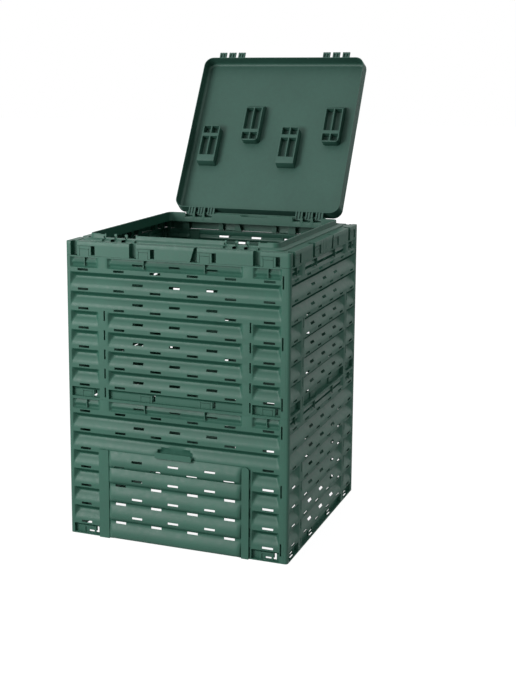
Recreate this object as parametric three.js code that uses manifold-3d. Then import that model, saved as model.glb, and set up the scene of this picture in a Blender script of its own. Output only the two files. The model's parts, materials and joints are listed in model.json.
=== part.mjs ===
// Compost bin of moulded panels, with a hinged lid and a sliding door.
// Millimetres, +Z up. The origin is on the ground, at the centre of the square footprint.
// The front, with the door, faces -Y. The lid is modelled open, as it stands by itself.

import * as THREE from "three";
import { ConvexGeometry } from "three/addons/geometries/ConvexGeometry.js";
import { mergeVertices } from "three/addons/utils/BufferGeometryUtils.js";
import Module from "manifold-3d";

// Driving dimensions of the body
const width = 802.5; // outside of the square body, both ways
const tier_height = 495; // one ring of four panels
const skin = 2.6; // moulded wall
const clearance = 0.3; // between pieces that touch
const overrun = 6; // how far a cutting body runs past a face

// Corner posts: each panel carries one, at its left end seen from outside
const post = 13.4;
const post_radius = 10;

// Corrugation of a panel: flat bands with a wedge-shaped groove between each two
const band_count = 7;
const band_foot = 46.4; // from a panel's foot to the centre of its lowest band
const band_head = 47.4; // from the centre of its highest band to its top
const band_height = 17;
const groove_depth = 17;
const groove_end_run = 14; // length of a groove's slanted end
const groove_deepest_share = 0.34; // of the groove's height, down from its top
const full_grooves = 2; // the highest grooves run the whole length
const end_strip = 15.8; // flat strip at each end of a panel
const column_width = 35; // flat columns that part the shorter grooves
const column_place_share = 0.3301; // of a panel's length, either way from the pattern's middle
const pattern_middle = -2.9; // middle of the slots, columns and clips, from the body's middle

// Ventilation slots in the bands
const slot_length = 39;
const slot_height = 8;
const slots_per_band = 6;
const slot_end_margin = 59.95; // from a panel's end to its first slot's centre

// Flange along a panel's top, with shallow compartments under it
const flange_height = 4.7;
const flange_depth = 16;
const compartment_depth = 12;
const compartment_slope = 16; // how far the compartment's floor slopes up to its back
const web = 3;

// Snap clips that stand on the flange and enter the recess of the piece above
const clip_pitch_share = 0.2773; // of a panel's length
const clip_width = 34;
const clip_height = 22;
const clip_depth = 8; // from the outer plane to the clip's face
const clip_thickness = 3;
const clip_play = 0.8; // between a clip and the pad round it
const pad_left = 26; // pad round a clip, from the clip's middle to its left edge
const pad_right = 25;
const pad_height = 32;
const pad_depth = 7; // from the outer plane to the pad's face
const recess_height = 35;
const recess_depth = 13;
const recess_floor = 4; // the floor that the clips of the piece below pass through

// Door in the lower front panel
const door_foot = 5; // the door's lower edge above the ground
const door_top_rise = 3.2; // the door's top above the centre of the band behind it
const door_play = 0.5; // running clearance of the door on each side of its flange
const door_crest = 15.5; // how far its ridges stand out of the wall
const valley_rise = 15; // a valley's centre above the centre of the wall's band
const valley_height = 8;
const crest_drop = 35.9; // from a valley's centre down to the ridge below it
const crest_height = 9;
const door_flange = 8; // the flange that runs in each rail
const door_slots = 4; // slots in each valley
const opening_margin = 10; // how far the door covers the wall around the opening
const opening_drop = 17; // the opening's top below the centre of the band behind the door's top
const rail_lip = 3.2;
const rail_top_rise = 4.2; // the rail's top above the centre of that band
const left_rail_width = 37.3;
const right_rail_width = 25.7;
const handle_width = 133;
const handle_reach = 14.5; // how far the handle stands out of the wall
const handle_height = 17;
const handle_thickness = 3;
const scoop_width = 124; // finger scoop in the wall behind the handle
const scoop_height = 20;
const scoop_foot = 2; // height of the scoop's upright ends
const scoop_depth = 14;

// Rim that caps the upper tier, made of a front and a back half
const apron_height = 48; // from the panels' top to the rim's outer ledge
const apron_thickness = 3;
const window_left = 51; // gap between the hanging plates, from a clip's middle to the left
const window_right = 40;
const window_height = 34; // of the gap's part on the right
const ledge_thickness = 3.6;
const ledge_width = 38; // the outer, lower ledge
const step_height = 5; // the inner ledge above the outer one
const inner_ledge_width = 21.75;
const collar_thickness = 6;
const collar_rise = 17; // the collar's top above the inner ledge
const collar_depth = 19; // the collar's foot below the inner ledge
const collar_radius = 22;
const finger_width = 90; // finger recess in the middle of the collar's top edge
const finger_depth = 7;
const finger_slant = 10;

// Lid
const lid_height = 57.5;
const lid_wall = 2.6;
const lid_top = 3;
const lid_play = 2.4; // between the lid's wall and the collar around it
const lid_radius = 38;
const lid_open_angle = 120.13; // degrees from closed to the open stop

// Knuckles along the lid's back and front edges, and their cradles in the rim
const hinge_inset = 38.15; // from the body's outer plane to the hinge axis
const hinge_rise = 11.4; // the axis above the outer ledge
const barrel_radius = 4.6;
const barrel_play = 0.6;
const barrel_steps = 12;
const knuckle_width = 28;
const knuckle_pitch = 40;
const knuckles_per_group = 3;
const knuckle_fin = 5; // each knuckle has three of them, joined by the barrel and a roof
const knuckle_roof = 2;
const knuckle_root = 7; // height of a knuckle where it meets the lid's wall
const cheek_width = 10;
const cheek_height = 13; // above the outer ledge
const cheek_length = 16;
const cradle_rise = 3; // the cradles' bed above the inner ledge

// Ribbed blocks under the lid
const block_pitch_share = 0.25; // of the lid's inner width
const block_width = 72;
const block_length = 164;
const block_height = 35.4;
const block_wall = 5;
const block_bar = 14;
const block_short_cell = 30;
const block_tip = 20; // length of the tapered end
const block_offset = 50.7; // from the row's middle to a block's middle
const block_shift = 4.7; // of the whole row towards the lid's front edge
const block_round = 14;

const half = width / 2;
const panel_length = width - post;
const panel_end = half - post - clearance;
const panel_top = tier_height - clearance;
const row_pitch = (tier_height - band_foot - band_head) / (band_count - 1);
const slot_pitch = (panel_length - 2 * slot_end_margin) / (slots_per_band - 1);
const clip_pitch = clip_pitch_share * panel_length;
const clip_steps = [-1.5, -0.5, 0.5, 1.5];
const body_top = 2 * tier_height;
const ledge_top = body_top + apron_height;
const step_top = ledge_top + step_height;
const collar_half = half - ledge_width - inner_ledge_width;
const opening_half = collar_half - collar_thickness;
const lid_half = opening_half - lid_play;
const lid_inner_half = lid_half - lid_wall;
const block_pitch = block_pitch_share * 2 * lid_inner_half;
const rim_top = step_top + collar_rise;
const lid_foot = step_top + clearance;
const hinge_y = half - hinge_inset;
const hinge_z = ledge_top + hinge_rise;
const knuckle_foot = lid_foot + clearance; // where a knuckle's arm meets the lid's wall

const wasm = await Module();
wasm.setup();

// Solids from three.js geometry

function toSolid(geometry) {
  geometry.deleteAttribute("normal");
  geometry.deleteAttribute("uv");
  const merged = mergeVertices(geometry);
  const mesh = new wasm.Mesh({
    numProp: 3,
    vertProperties: Float32Array.from(merged.attributes.position.array),
    triVerts: Uint32Array.from(merged.index.array),
  });
  return new wasm.Manifold(mesh);
}

function toMesh(name, solid, material) {
  const { vertProperties, triVerts } = solid.getMesh();
  const geometry = new THREE.BufferGeometry();
  geometry.setAttribute("position", new THREE.BufferAttribute(vertProperties, 3));
  geometry.setIndex(new THREE.BufferAttribute(triVerts, 1));
  geometry.computeVertexNormals();
  const mesh = new THREE.Mesh(geometry, material);
  mesh.name = name;
  return mesh;
}

function block(x0, x1, y0, y1, z0, z1) {
  const geometry = new THREE.BoxGeometry(x1 - x0, y1 - y0, z1 - z0);
  geometry.translate((x0 + x1) / 2, (y0 + y1) / 2, (z0 + z1) / 2);
  return toSolid(geometry);
}

function hull(points) {
  return toSolid(new ConvexGeometry(points.map(([x, y, z]) => new THREE.Vector3(x, y, z))));
}

// Upright prism of a rounded square about the centre line
function roundedSlab(halfSize, radius, z0, z1) {
  const shape = new THREE.Shape();
  const inner = halfSize - radius;
  shape.absarc(inner, inner, radius, 0, Math.PI / 2);
  shape.absarc(-inner, inner, radius, Math.PI / 2, Math.PI);
  shape.absarc(-inner, -inner, radius, Math.PI, 1.5 * Math.PI);
  shape.absarc(inner, -inner, radius, 1.5 * Math.PI, 2 * Math.PI);
  const geometry = new THREE.ExtrudeGeometry(shape, { depth: z1 - z0, bevelEnabled: false, curveSegments: 6 });
  geometry.translate(0, 0, z0);
  return toSolid(geometry);
}

// Prism along X of an outline in the Y and Z directions
function alongX(outline, x0, x1) {
  const shape = new THREE.Shape(outline.map(([y, z]) => new THREE.Vector2(y, z)));
  const geometry = new THREE.ExtrudeGeometry(shape, { depth: x1 - x0, bevelEnabled: false });
  const turn = new THREE.Matrix4().makeBasis(
    new THREE.Vector3(0, 1, 0),
    new THREE.Vector3(0, 0, 1),
    new THREE.Vector3(1, 0, 0),
  );
  geometry.applyMatrix4(turn);
  geometry.translate(x0, 0, 0);
  return toSolid(geometry);
}

// Panels, each built as the front one: "in" is the depth behind the outer plane

const inward = (depth) => depth - half;
const bandCentre = (band) => band_foot + band * row_pitch;

const column_place = column_place_share * panel_length;
const cells = [
  [-half + end_strip, pattern_middle - column_place - column_width / 2],
  [pattern_middle - column_place + column_width / 2, pattern_middle + column_place - column_width / 2],
  [pattern_middle + column_place + column_width / 2, half - post - end_strip],
];
const whole_cell = [cells[0][0], cells[2][1]];

// A wedge behind the wall's plane: a slab between two depths that narrows to a keel line further back
function wedgeSolid([x0, x1], [z0, z1], [front, mouth], keel_z, keel_depth) {
  const corners = (depth) => [[x0, z0], [x1, z0], [x1, z1], [x0, z1]].map(([x, z]) => [x, inward(depth), z]);
  const keel = [x0 + groove_end_run, x1 - groove_end_run].map((x) => [x, inward(keel_depth), keel_z]);
  const geometry = new THREE.BufferGeometry();
  const points = [...corners(front), ...corners(mouth), ...keel].flat();
  geometry.setAttribute("position", new THREE.Float32BufferAttribute(points, 3));
  const front_face = [0, 1, 2, 0, 2, 3];
  const slab_sides = [0, 4, 5, 0, 5, 1, 1, 5, 6, 1, 6, 2, 2, 6, 7, 2, 7, 3, 3, 7, 4, 3, 4, 0];
  const keel_sides = [4, 8, 9, 4, 9, 5, 5, 9, 6, 6, 9, 8, 6, 8, 7, 7, 8, 4];
  geometry.setIndex([...front_face, ...slab_sides, ...keel_sides]);
  return toSolid(geometry);
}

// The hollow of a groove and, one skin larger, the shell behind it
function grooveParts([x0, x1], z0, z1) {
  const deepest = z1 - groove_deepest_share * (z1 - z0);
  const shell_span = [x0 - skin, x1 + skin];
  const shell_rise = [z0 - skin, z1 + skin];
  return {
    hollow: wedgeSolid([x0, x1], [z0, z1], [-overrun, 0], deepest, groove_depth),
    shell: wedgeSolid(shell_span, shell_rise, [skin / 4, skin / 2], deepest, groove_depth + skin),
  };
}

// A shallow compartment under the top flange, with a sloping floor
function compartmentParts([x0, x1], z0, z1) {
  const part = (grow, front, back) => {
    const low = z0 - grow;
    const outline = [[0, low], [back, low + compartment_slope], [back, z1], [front, z1]];
    if (front < 0) {
      outline.push([front, low]);
    }
    return alongX(outline.map(([depth, z]) => [inward(depth), z]), x0 - grow, x1 + grow);
  };
  return {
    hollow: part(0, -overrun, compartment_depth),
    shell: part(skin, 0, compartment_depth + skin),
  };
}

// A recess at the panel's foot, for the clips of the piece below
function recessParts([x0, x1]) {
  return {
    hollow: block(x0, x1, inward(-overrun), inward(recess_depth), recess_floor, recess_height),
    shell: block(x0 - skin, x1 + skin, inward(0), inward(recess_depth + skin), 0, recess_height + skin),
  };
}

function cornerPost() {
  const shape = new THREE.Shape();
  shape.moveTo(-half, -half + post);
  shape.absarc(-half + post_radius, -half + post_radius, post_radius, Math.PI, 1.5 * Math.PI);
  shape.lineTo(-half + post, -half);
  shape.lineTo(-half + post, -half + post);
  return toSolid(new THREE.ExtrudeGeometry(shape, { depth: panel_top, bevelEnabled: false, curveSegments: 5 }));
}

function slotCuts() {
  const cuts = [];
  for (let band = 0; band < band_count; band += 1) {
    for (let slot = 0; slot < slots_per_band; slot += 1) {
      const x = pattern_middle + (slot - (slots_per_band - 1) / 2) * slot_pitch;
      const z = bandCentre(band);
      cuts.push(
        block(
          x - slot_length / 2,
          x + slot_length / 2,
          inward(-overrun),
          inward(skin + overrun),
          z - slot_height / 2,
          z + slot_height / 2,
        ),
      );
    }
  }
  return cuts;
}

// Where a clip passes: a little larger than the clip all round
function clipRoom(x, foot, front) {
  const reach = clip_width / 2 + clip_play;
  const back = inward(clip_depth + clip_thickness + clip_play);
  return block(x - reach, x + reach, front, back, foot, clip_height + clip_play);
}

// The pad in a recess, with a pocket for the clip
function padSolid(x) {
  const [front, back] = [inward(pad_depth), inward(recess_depth + skin / 2)];
  return block(x - pad_left, x + pad_right, front, back, recess_floor / 2, pad_height)
    .subtract(clipRoom(x, recess_floor, front - overrun));
}

function panelSolid(hasDoor) {
  const parts = [];
  for (let row = 0; row < band_count - 1; row += 1) {
    const z0 = bandCentre(row) + band_height / 2;
    const z1 = bandCentre(row + 1) - band_height / 2;
    const isFull = row >= band_count - 1 - full_grooves;
    const rowCells = isFull ? [whole_cell] : cells.filter((cell) => !(hasDoor && cell === cells[1]));
    for (const cell of rowCells) {
      parts.push(grooveParts(cell, z0, z1));
    }
  }
  if (hasDoor) {
    parts.push(scoopParts());
  }
  const compartment_foot = bandCentre(band_count - 1) + band_height / 2;
  for (const cell of cells) {
    parts.push(compartmentParts(cell, compartment_foot, panel_top - flange_height));
    if (!(hasDoor && cell === cells[1])) {
      parts.push(recessParts(cell));
    }
  }

  let solid = block(-half + post_radius, panel_end, inward(0), inward(skin), 0, panel_top);
  solid = solid.add(cornerPost());
  const flange_start = -half + flange_depth + clearance;
  solid = solid.add(
    block(flange_start, panel_end, inward(0), inward(flange_depth), panel_top - flange_height, panel_top),
  );
  for (const { shell } of parts) {
    solid = solid.add(shell);
  }
  for (const { hollow } of parts) {
    solid = solid.subtract(hollow);
  }
  for (const step of clip_steps) {
    const x = pattern_middle + step * clip_pitch;
    const webTop = panel_top - flange_height / 2;
    solid = solid.add(
      block(x - web / 2, x + web / 2, inward(0), inward(compartment_depth + skin / 2), compartment_foot, webTop),
    );
    const clip_face = inward(clip_depth);
    const clip_top = tier_height + clip_height;
    solid = solid.add(
      block(x - clip_width / 2, x + clip_width / 2, clip_face, clip_face + clip_thickness, webTop, clip_top),
    );
    if (!(hasDoor && x > cells[1][0] && x < cells[1][1])) {
      solid = solid.add(padSolid(x)).subtract(clipRoom(x, -overrun, clip_face - clip_play));
    }
  }
  for (const cut of slotCuts()) {
    solid = solid.subtract(cut);
  }
  return hasDoor ? withDoorway(solid) : solid;
}

// Door and the rails that it slides in

const door_span = cells[1];
const door_band = bandCentre(band_count - 1 - full_grooves);
const door_top = door_band + door_top_rise;
const outward = (reach) => -half - reach;
const flange_back = door_play;
const flange_face = door_play + skin;
const rail_face = flange_face + door_play + rail_lip;

// The finger scoop: half an ellipse over the door's top, cut straight into the wall
function scoopParts() {
  const part = (grow, front, back) => {
    const [reach, rise] = [scoop_width / 2 + grow, scoop_height + grow];
    const shape = new THREE.Shape();
    shape.moveTo(pattern_middle + reach, door_top - grow);
    shape.absellipse(pattern_middle, door_top + scoop_foot, reach, rise, 0, Math.PI);
    shape.lineTo(pattern_middle - reach, door_top - grow);
    const options = { depth: back - front, bevelEnabled: false, curveSegments: 10 };
    const geometry = new THREE.ExtrudeGeometry(shape, options);
    geometry.rotateX(Math.PI / 2);
    geometry.translate(0, inward(back), 0);
    return toSolid(geometry);
  };
  return { hollow: part(0, -overrun, scoop_depth), shell: part(skin, 0, scoop_depth + skin) };
}

function withDoorway(panel) {
  const [x0, x1] = door_span;
  const opening_top = door_band - opening_drop;
  const railTop = door_band + rail_top_rise;
  const lip_gap = 2 * door_play;
  let solid = panel
    .add(block(x0 - lip_gap - left_rail_width, x0 - lip_gap, outward(rail_face), inward(skin / 2), 0, railTop))
    .add(block(x1 + lip_gap, x1 + lip_gap + right_rail_width, outward(rail_face), inward(skin / 2), 0, railTop));
  solid = solid.subtract(
    block(x0 + opening_margin, x1 - opening_margin, outward(overrun), inward(skin + overrun), -overrun, opening_top),
  );
  const reach = door_flange + door_play;
  return solid.subtract(
    block(x0 - reach, x1 + reach, outward(flange_face + door_play), outward(0), door_foot - clearance, railTop + overrun),
  );
}

// The outer line of the door's section, from its foot to its top, as [reach, height]
function doorOutline() {
  const line = [[flange_face + crest_height, door_foot]];
  for (let ridge = 0; ridge < band_count - full_grooves; ridge += 1) {
    const crest = bandCentre(ridge) + valley_rise - crest_drop;
    if (ridge > 0) {
      const valley = bandCentre(ridge - 1) + valley_rise;
      line.push([flange_face, valley - valley_height / 2], [flange_face, valley + valley_height / 2]);
    }
    line.push([door_crest, crest - crest_height], [door_crest, crest]);
  }
  line.push([flange_face, door_top - valley_height / 2], [flange_face, door_top]);
  return line;
}

function doorSolid() {
  const [x0, x1] = door_span;
  const outer = doorOutline();
  const inner = outer.map(([reach, z]) => [reach - skin, z]).reverse();
  const toPoint = ([reach, z]) => [outward(reach), z];
  const cap = [...outer, [flange_back, door_top], [flange_back, door_foot]].map(toPoint);
  let solid = alongX([...outer, ...inner].map(toPoint), x0, x1)
    .add(alongX(cap, x0, x0 + skin))
    .add(alongX(cap, x1 - skin, x1))
    .add(block(x0 - door_flange, x0 + skin, outward(flange_face), outward(flange_back), door_foot, door_top))
    .add(block(x1 - skin, x1 + door_flange, outward(flange_face), outward(flange_back), door_foot, door_top));
  for (let row = 0; row < band_count - 1 - full_grooves; row += 1) {
    const z = bandCentre(row) + valley_rise;
    for (let slot = 0; slot < door_slots; slot += 1) {
      const x = pattern_middle + (slot - (door_slots - 1) / 2) * slot_pitch;
      solid = solid.subtract(
        block(
          x - slot_length / 2,
          x + slot_length / 2,
          outward(door_crest),
          outward(0),
          z - slot_height / 2,
          z + slot_height / 2,
        ),
      );
    }
  }
  const [h0, h1] = [pattern_middle - handle_width / 2, pattern_middle + handle_width / 2];
  const handle_front = handle_reach - handle_thickness;
  return solid
    .add(block(h0, h1, outward(handle_reach), outward(flange_back), door_top - handle_thickness, door_top))
    .add(
      block(h0, h1, outward(handle_reach), outward(handle_front), door_top - handle_thickness, door_top + handle_height),
    );
}

// Rim: one side's hanging plates and cradles, built as the front one

const group_span = (knuckles_per_group - 1) * knuckle_pitch;

// The rim's halves are alike, turned about the middle: side is -1 in front and 1 behind
function groupCentres(side) {
  return [-clip_pitch, clip_pitch].map((place) => place - side * pattern_middle);
}

function knucklePlaces(side) {
  const places = [];
  for (const centre of groupCentres(side)) {
    for (let knuckle = 0; knuckle < knuckles_per_group; knuckle += 1) {
      places.push(centre - group_span / 2 + knuckle * knuckle_pitch);
    }
  }
  return places;
}

// Hanging plates of one side, each with two webs back to the recessed wall
function apronParts() {
  const parts = [];
  const edges = [-half];
  const roof = ledge_top - ledge_thickness / 2;
  const head = body_top + window_height;
  for (const step of clip_steps) {
    const x = pattern_middle + step * clip_pitch;
    edges.push(x - window_left, x + window_right);
    parts.push(block(x - pad_left, x + window_right + web, inward(0), inward(apron_thickness), head, roof));
    parts.push(block(x - pad_left, x + pad_right, inward(0), inward(apron_thickness), body_top, roof));
    parts.push(block(x - pad_left, x - pad_left + web, inward(0), inward(recess_depth + skin / 2), head, roof));
  }
  edges.push(half);
  for (let plate = 0; plate < edges.length; plate += 2) {
    const [x0, x1] = [edges[plate], edges[plate + 1]];
    parts.push(block(x0, x1, inward(0), inward(apron_thickness), body_top, roof));
    for (const [w0, w1] of [[x0, x0 + web], [x1 - web, x1]]) {
      parts.push(block(w0, w1, inward(0), inward(recess_depth + skin / 2), body_top, roof));
    }
  }
  return parts;
}

// Bed and cheeks of the cradles along one hinge line; side is -1 in front and 1 behind
function cradleParts(side) {
  const parts = [];
  const line = (a, b) => (side < 0 ? [-b, -a] : [a, b]);
  const bed = line(hinge_y - cheek_length / 2, hinge_y + cheek_length / 2);
  const foot = ledge_top - ledge_thickness / 2;
  for (const centre of groupCentres(side)) {
    const reach = group_span / 2 + knuckle_pitch / 2;
    parts.push(block(centre - reach, centre + reach, ...bed, foot, step_top + cradle_rise));
    for (let cheek = 0; cheek <= knuckles_per_group; cheek += 1) {
      const x = centre - group_span / 2 + (cheek - 0.5) * knuckle_pitch;
      parts.push(block(x - cheek_width / 2, x + cheek_width / 2, ...bed, foot, ledge_top + cheek_height));
    }
  }
  return parts;
}

function barrelOutline(y, z, radius) {
  const points = [];
  for (let step = 0; step < barrel_steps; step += 1) {
    const angle = ((step + 0.5) / barrel_steps) * 2 * Math.PI;
    points.push([y + radius * Math.cos(angle), z + radius * Math.sin(angle)]);
  }
  return points;
}

// Room in the rim for each knuckle: its barrel, and a notch through the collar for its arm
function cradleCuts(side) {
  const radius = barrel_radius + barrel_play;
  const reach = knuckle_width / 2 + (knuckle_pitch - knuckle_width - cheek_width) / 2;
  const wall_y = lid_inner_half + lid_wall / 2;
  const outline = [
    ...barrelOutline(hinge_y, hinge_z, radius),
    [wall_y, knuckle_foot - barrel_play],
    [wall_y, rim_top + overrun],
    [hinge_y, rim_top + overrun],
  ];
  return knucklePlaces(side).map((x) =>
    hull([x - reach, x + reach].flatMap((end) => outline.map(([y, z]) => [end, side * y, z]))),
  );
}

function fingerCut() {
  const low = finger_width / 2 - finger_slant;
  const points = [];
  for (const y of [opening_half - overrun, collar_half + overrun]) {
    points.push([-low, y, rim_top - finger_depth], [low, y, rim_top - finger_depth]);
    points.push([-finger_width / 2, y, rim_top + overrun], [finger_width / 2, y, rim_top + overrun]);
  }
  return hull(points);
}

function rimSolid() {
  const outer_half = half - ledge_width;
  const wall_half = half - recess_depth;
  let solid = block(-half, half, -half, half, ledge_top - ledge_thickness, ledge_top)
    .add(roundedSlab(outer_half, collar_radius, ledge_top - ledge_thickness, step_top))
    .add(roundedSlab(collar_half, collar_radius, step_top - collar_depth, rim_top));
  const back_wall = block(-wall_half, wall_half, -wall_half, wall_half, body_top, ledge_top - ledge_thickness / 2)
    .subtract(
      block(
        -wall_half + skin,
        wall_half - skin,
        -wall_half + skin,
        wall_half - skin,
        body_top - overrun,
        ledge_top,
      ),
    );
  solid = solid.add(back_wall);
  for (let side = 0; side < 4; side += 1) {
    for (const part of apronParts()) {
      solid = solid.add(part.rotate([0, 0, 90 * side]));
    }
  }
  for (const side of [-1, 1]) {
    for (const part of cradleParts(side)) {
      solid = solid.add(part);
    }
    for (const cut of cradleCuts(side)) {
      solid = solid.subtract(cut);
    }
  }
  return solid
    .intersect(roundedSlab(half, post_radius, body_top - overrun, rim_top + overrun))
    .subtract(roundedSlab(opening_half, collar_radius - collar_thickness, body_top, rim_top + overrun))
    .subtract(fingerCut());
}

// Lid in its closed place, and the same with the hinge axis as its own origin

function knuckleSolid(x) {
  const wall_y = lid_inner_half + lid_wall / 2;
  const arm = hull(
    [x - knuckle_width / 2, x + knuckle_width / 2].flatMap((end) => [
      ...barrelOutline(hinge_y, hinge_z, barrel_radius).map(([y, z]) => [end, y, z]),
      [end, wall_y, knuckle_foot],
      [end, wall_y, knuckle_foot + knuckle_root],
    ]),
  );
  const half_groove = (knuckle_width - 3 * knuckle_fin) / 4;
  let solid = arm;
  for (const middle of [x - half_groove - knuckle_fin / 2, x + half_groove + knuckle_fin / 2]) {
    solid = solid.subtract(
      block(
        middle - half_groove,
        middle + half_groove,
        lid_half,
        hinge_y - barrel_radius,
        lid_foot - overrun,
        knuckle_foot + knuckle_root - knuckle_roof,
      ),
    );
  }
  return solid;
}

function lidSolid() {
  let solid = roundedSlab(lid_half, lid_radius, lid_foot, lid_foot + lid_height).subtract(
    roundedSlab(lid_inner_half, lid_radius - lid_wall, lid_foot - overrun, lid_foot + lid_height - lid_top),
  );
  for (const x of knucklePlaces(1)) {
    const knuckle = knuckleSolid(x);
    solid = solid.add(knuckle).add(knuckle.rotate([0, 0, 180]));
  }
  return solid;
}

// A ribbed block: rounded at one end, tapered at the other, open on its lower side
function lidBlockSolid() {
  const roof = lid_foot + lid_height - lid_top - clearance;
  const floor = roof - block_height;
  const [x0, x1] = [-block_width / 2, block_width / 2];
  const [y0, y1] = [-block_length / 2, block_length / 2];
  const outline = new THREE.Shape();
  outline.moveTo(x0, y0 + block_round);
  outline.quadraticCurveTo(x0, y0, x0 + block_round, y0);
  outline.lineTo(x1 - block_round, y0);
  outline.quadraticCurveTo(x1, y0, x1, y0 + block_round);
  outline.lineTo(x1, y1);
  outline.lineTo(x0, y1);
  const geometry = new THREE.ExtrudeGeometry(outline, { depth: block_height, bevelEnabled: false, curveSegments: 3 });
  geometry.translate(0, 0, floor);
  let solid = toSolid(geometry);
  solid = solid.subtract(
    hull([
      [x0 - overrun, y1 - block_tip, floor],
      [x1 + overrun, y1 - block_tip, floor],
      [x0 - overrun, y1 + overrun, floor],
      [x1 + overrun, y1 + overrun, floor],
      [x0 - overrun, y1 + overrun, roof - block_wall],
      [x1 + overrun, y1 + overrun, roof - block_wall],
    ]),
  );
  const short_start = y0 + block_wall;
  const long_start = short_start + block_short_cell + block_bar;
  const cell_rows = [
    [short_start, short_start + block_short_cell],
    [long_start, y1 - block_tip - block_bar],
  ];
  for (const [c0, c1] of cell_rows) {
    for (const side of [-1, 1]) {
      const [a, b] = [(side * block_wall) / 2, side * (block_width / 2 - block_wall)];
      solid = solid.subtract(
        block(Math.min(a, b), Math.max(a, b), c0, c1, floor - overrun, roof - block_wall),
      );
    }
  }
  return solid;
}

// Colours and finishes: one satin green moulding material, a little different on each side

const moulded = (color) => new THREE.MeshStandardMaterial({ color, roughness: 0.55, metalness: 0 });
const panel_green = moulded(0x3f6a5a);
const rim_green = moulded(0x44705f);
const lid_green = moulded(0x486b60);
const door_green = moulded(0x456f60);

// Assembly

const bin = new THREE.Group();
const side_names = ["front", "right", "back", "left"];
const plain_panel = panelSolid(false);
const door_panel = panelSolid(true);

for (const [tier, tier_name] of ["lower", "upper"].entries()) {
  for (const [side, side_name] of side_names.entries()) {
    const solid = tier === 0 && side === 0 ? door_panel : plain_panel;
    const panel = toMesh(`${tier_name}_${side_name}_panel`, solid, panel_green);
    panel.rotation.z = (side * Math.PI) / 2;
    panel.position.z = tier * tier_height;
    bin.add(panel);
  }
}

bin.add(toMesh("door", doorSolid(), door_green));

const rim = rimSolid();
const joint = clearance / 2;
const reach = half + overrun;
const front_room = block(-reach, reach, -reach, -joint, body_top - overrun, rim_top + overrun);
const back_room = block(-reach, reach, joint, reach, body_top - overrun, rim_top + overrun);
bin.add(toMesh("rim_front_half", rim.intersect(front_room), rim_green));
bin.add(toMesh("rim_back_half", rim.intersect(back_room), rim_green));

// The lid and its blocks turn together about the hinge line
const lid_group = new THREE.Group();
lid_group.position.set(0, hinge_y, hinge_z);
lid_group.rotation.x = -THREE.MathUtils.degToRad(lid_open_angle);
const lid = toMesh("lid", lidSolid(), lid_green);
lid.position.set(0, -hinge_y, -hinge_z);
lid_group.add(lid);
const lid_block = lidBlockSolid();
for (let place = 0; place < 4; place += 1) {
  const turned = place % 2 === 1;
  const mesh = toMesh(`lid_block_${place + 1}`, lid_block, lid_green);
  mesh.rotation.z = turned ? Math.PI : 0;
  const y = (turned ? -block_offset : block_offset) - block_shift;
  mesh.position.set((place - 1.5) * block_pitch, y - hinge_y, -hinge_z);
  lid_group.add(mesh);
}
bin.add(lid_group);

export default bin;
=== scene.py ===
"""A square garden compost bin: slotted wall panels, stepped rim, sliding door and hinged lid."""

import json
import math

import bmesh
import bpy
import numpy as np
from bpy.props import FloatProperty, FloatVectorProperty, PointerProperty
from mathutils import Matrix, Vector


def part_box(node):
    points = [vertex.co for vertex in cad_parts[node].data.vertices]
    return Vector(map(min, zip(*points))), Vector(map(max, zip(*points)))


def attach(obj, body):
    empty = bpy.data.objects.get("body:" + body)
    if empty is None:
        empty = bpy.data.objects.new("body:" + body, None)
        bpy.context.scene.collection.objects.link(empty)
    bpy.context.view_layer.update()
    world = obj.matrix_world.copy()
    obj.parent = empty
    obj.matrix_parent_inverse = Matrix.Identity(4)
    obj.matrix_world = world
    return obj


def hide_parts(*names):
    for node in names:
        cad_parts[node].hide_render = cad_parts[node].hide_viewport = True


bl_info = {
    "name": "Compost Bin",
    "version": (1, 0, 0),
    "blender": (4, 5, 0),
    "location": "3D View > Sidebar > Compost Bin",
    "description": "Builds a slotted compost bin with a hinged lid around its packed model",
    "category": "Object",
}

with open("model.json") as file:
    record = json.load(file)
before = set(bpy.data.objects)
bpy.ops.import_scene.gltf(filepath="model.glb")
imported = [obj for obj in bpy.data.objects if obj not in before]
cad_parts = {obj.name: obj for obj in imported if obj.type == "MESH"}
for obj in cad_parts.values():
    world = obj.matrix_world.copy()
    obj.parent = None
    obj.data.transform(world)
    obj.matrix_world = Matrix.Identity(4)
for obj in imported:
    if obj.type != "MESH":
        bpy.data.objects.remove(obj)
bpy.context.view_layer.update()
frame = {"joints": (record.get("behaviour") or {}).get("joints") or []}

MM = 0.001
BAND_COUNT = 7
FULL_ROWS = 2  # the highest grooves run the whole length of a panel
DOOR_BANDS = BAND_COUNT - FULL_ROWS - 1  # the door's valleys; its top lies over the next band
SIDES = ("front", "right", "back", "left")
FRONT, RIGHT, BACK, LEFT = range(4)
TIERS = ("lower", "upper")

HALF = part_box("rim_front_half")[1].x
TIER_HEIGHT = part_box("upper_left_panel")[0].z
RIM_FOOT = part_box("rim_front_half")[0].z
HINGE = next(joint for joint in frame["joints"] if joint["name"] == "lid_hinge")
HINGE_POINT = Vector(HINGE["pos_m"])
LID_OPEN = math.radians(HINGE["range_deg"][1])


def length(name, description, value):
    """A length, given in millimetres, that the sidebar shows in the scene's unit."""
    return FloatProperty(
        name=name, description=description, default=value * MM, unit="LENGTH", precision=4
    )


def paint(name, description, value):
    """A colour that the sidebar shows as a swatch."""
    return FloatVectorProperty(
        name=name, description=description, default=value, size=3, subtype="COLOR", min=0.0, max=1.0
    )


def power(name, description, value):
    """A lamp's power."""
    return FloatProperty(name=name, description=description, default=value, unit="POWER", min=0.0)


def fraction(name, description, value):
    """A plain number between 0 and 1."""
    return FloatProperty(
        name=name, description=description, default=value, subtype="FACTOR", min=0.0, max=1.0
    )


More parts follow.
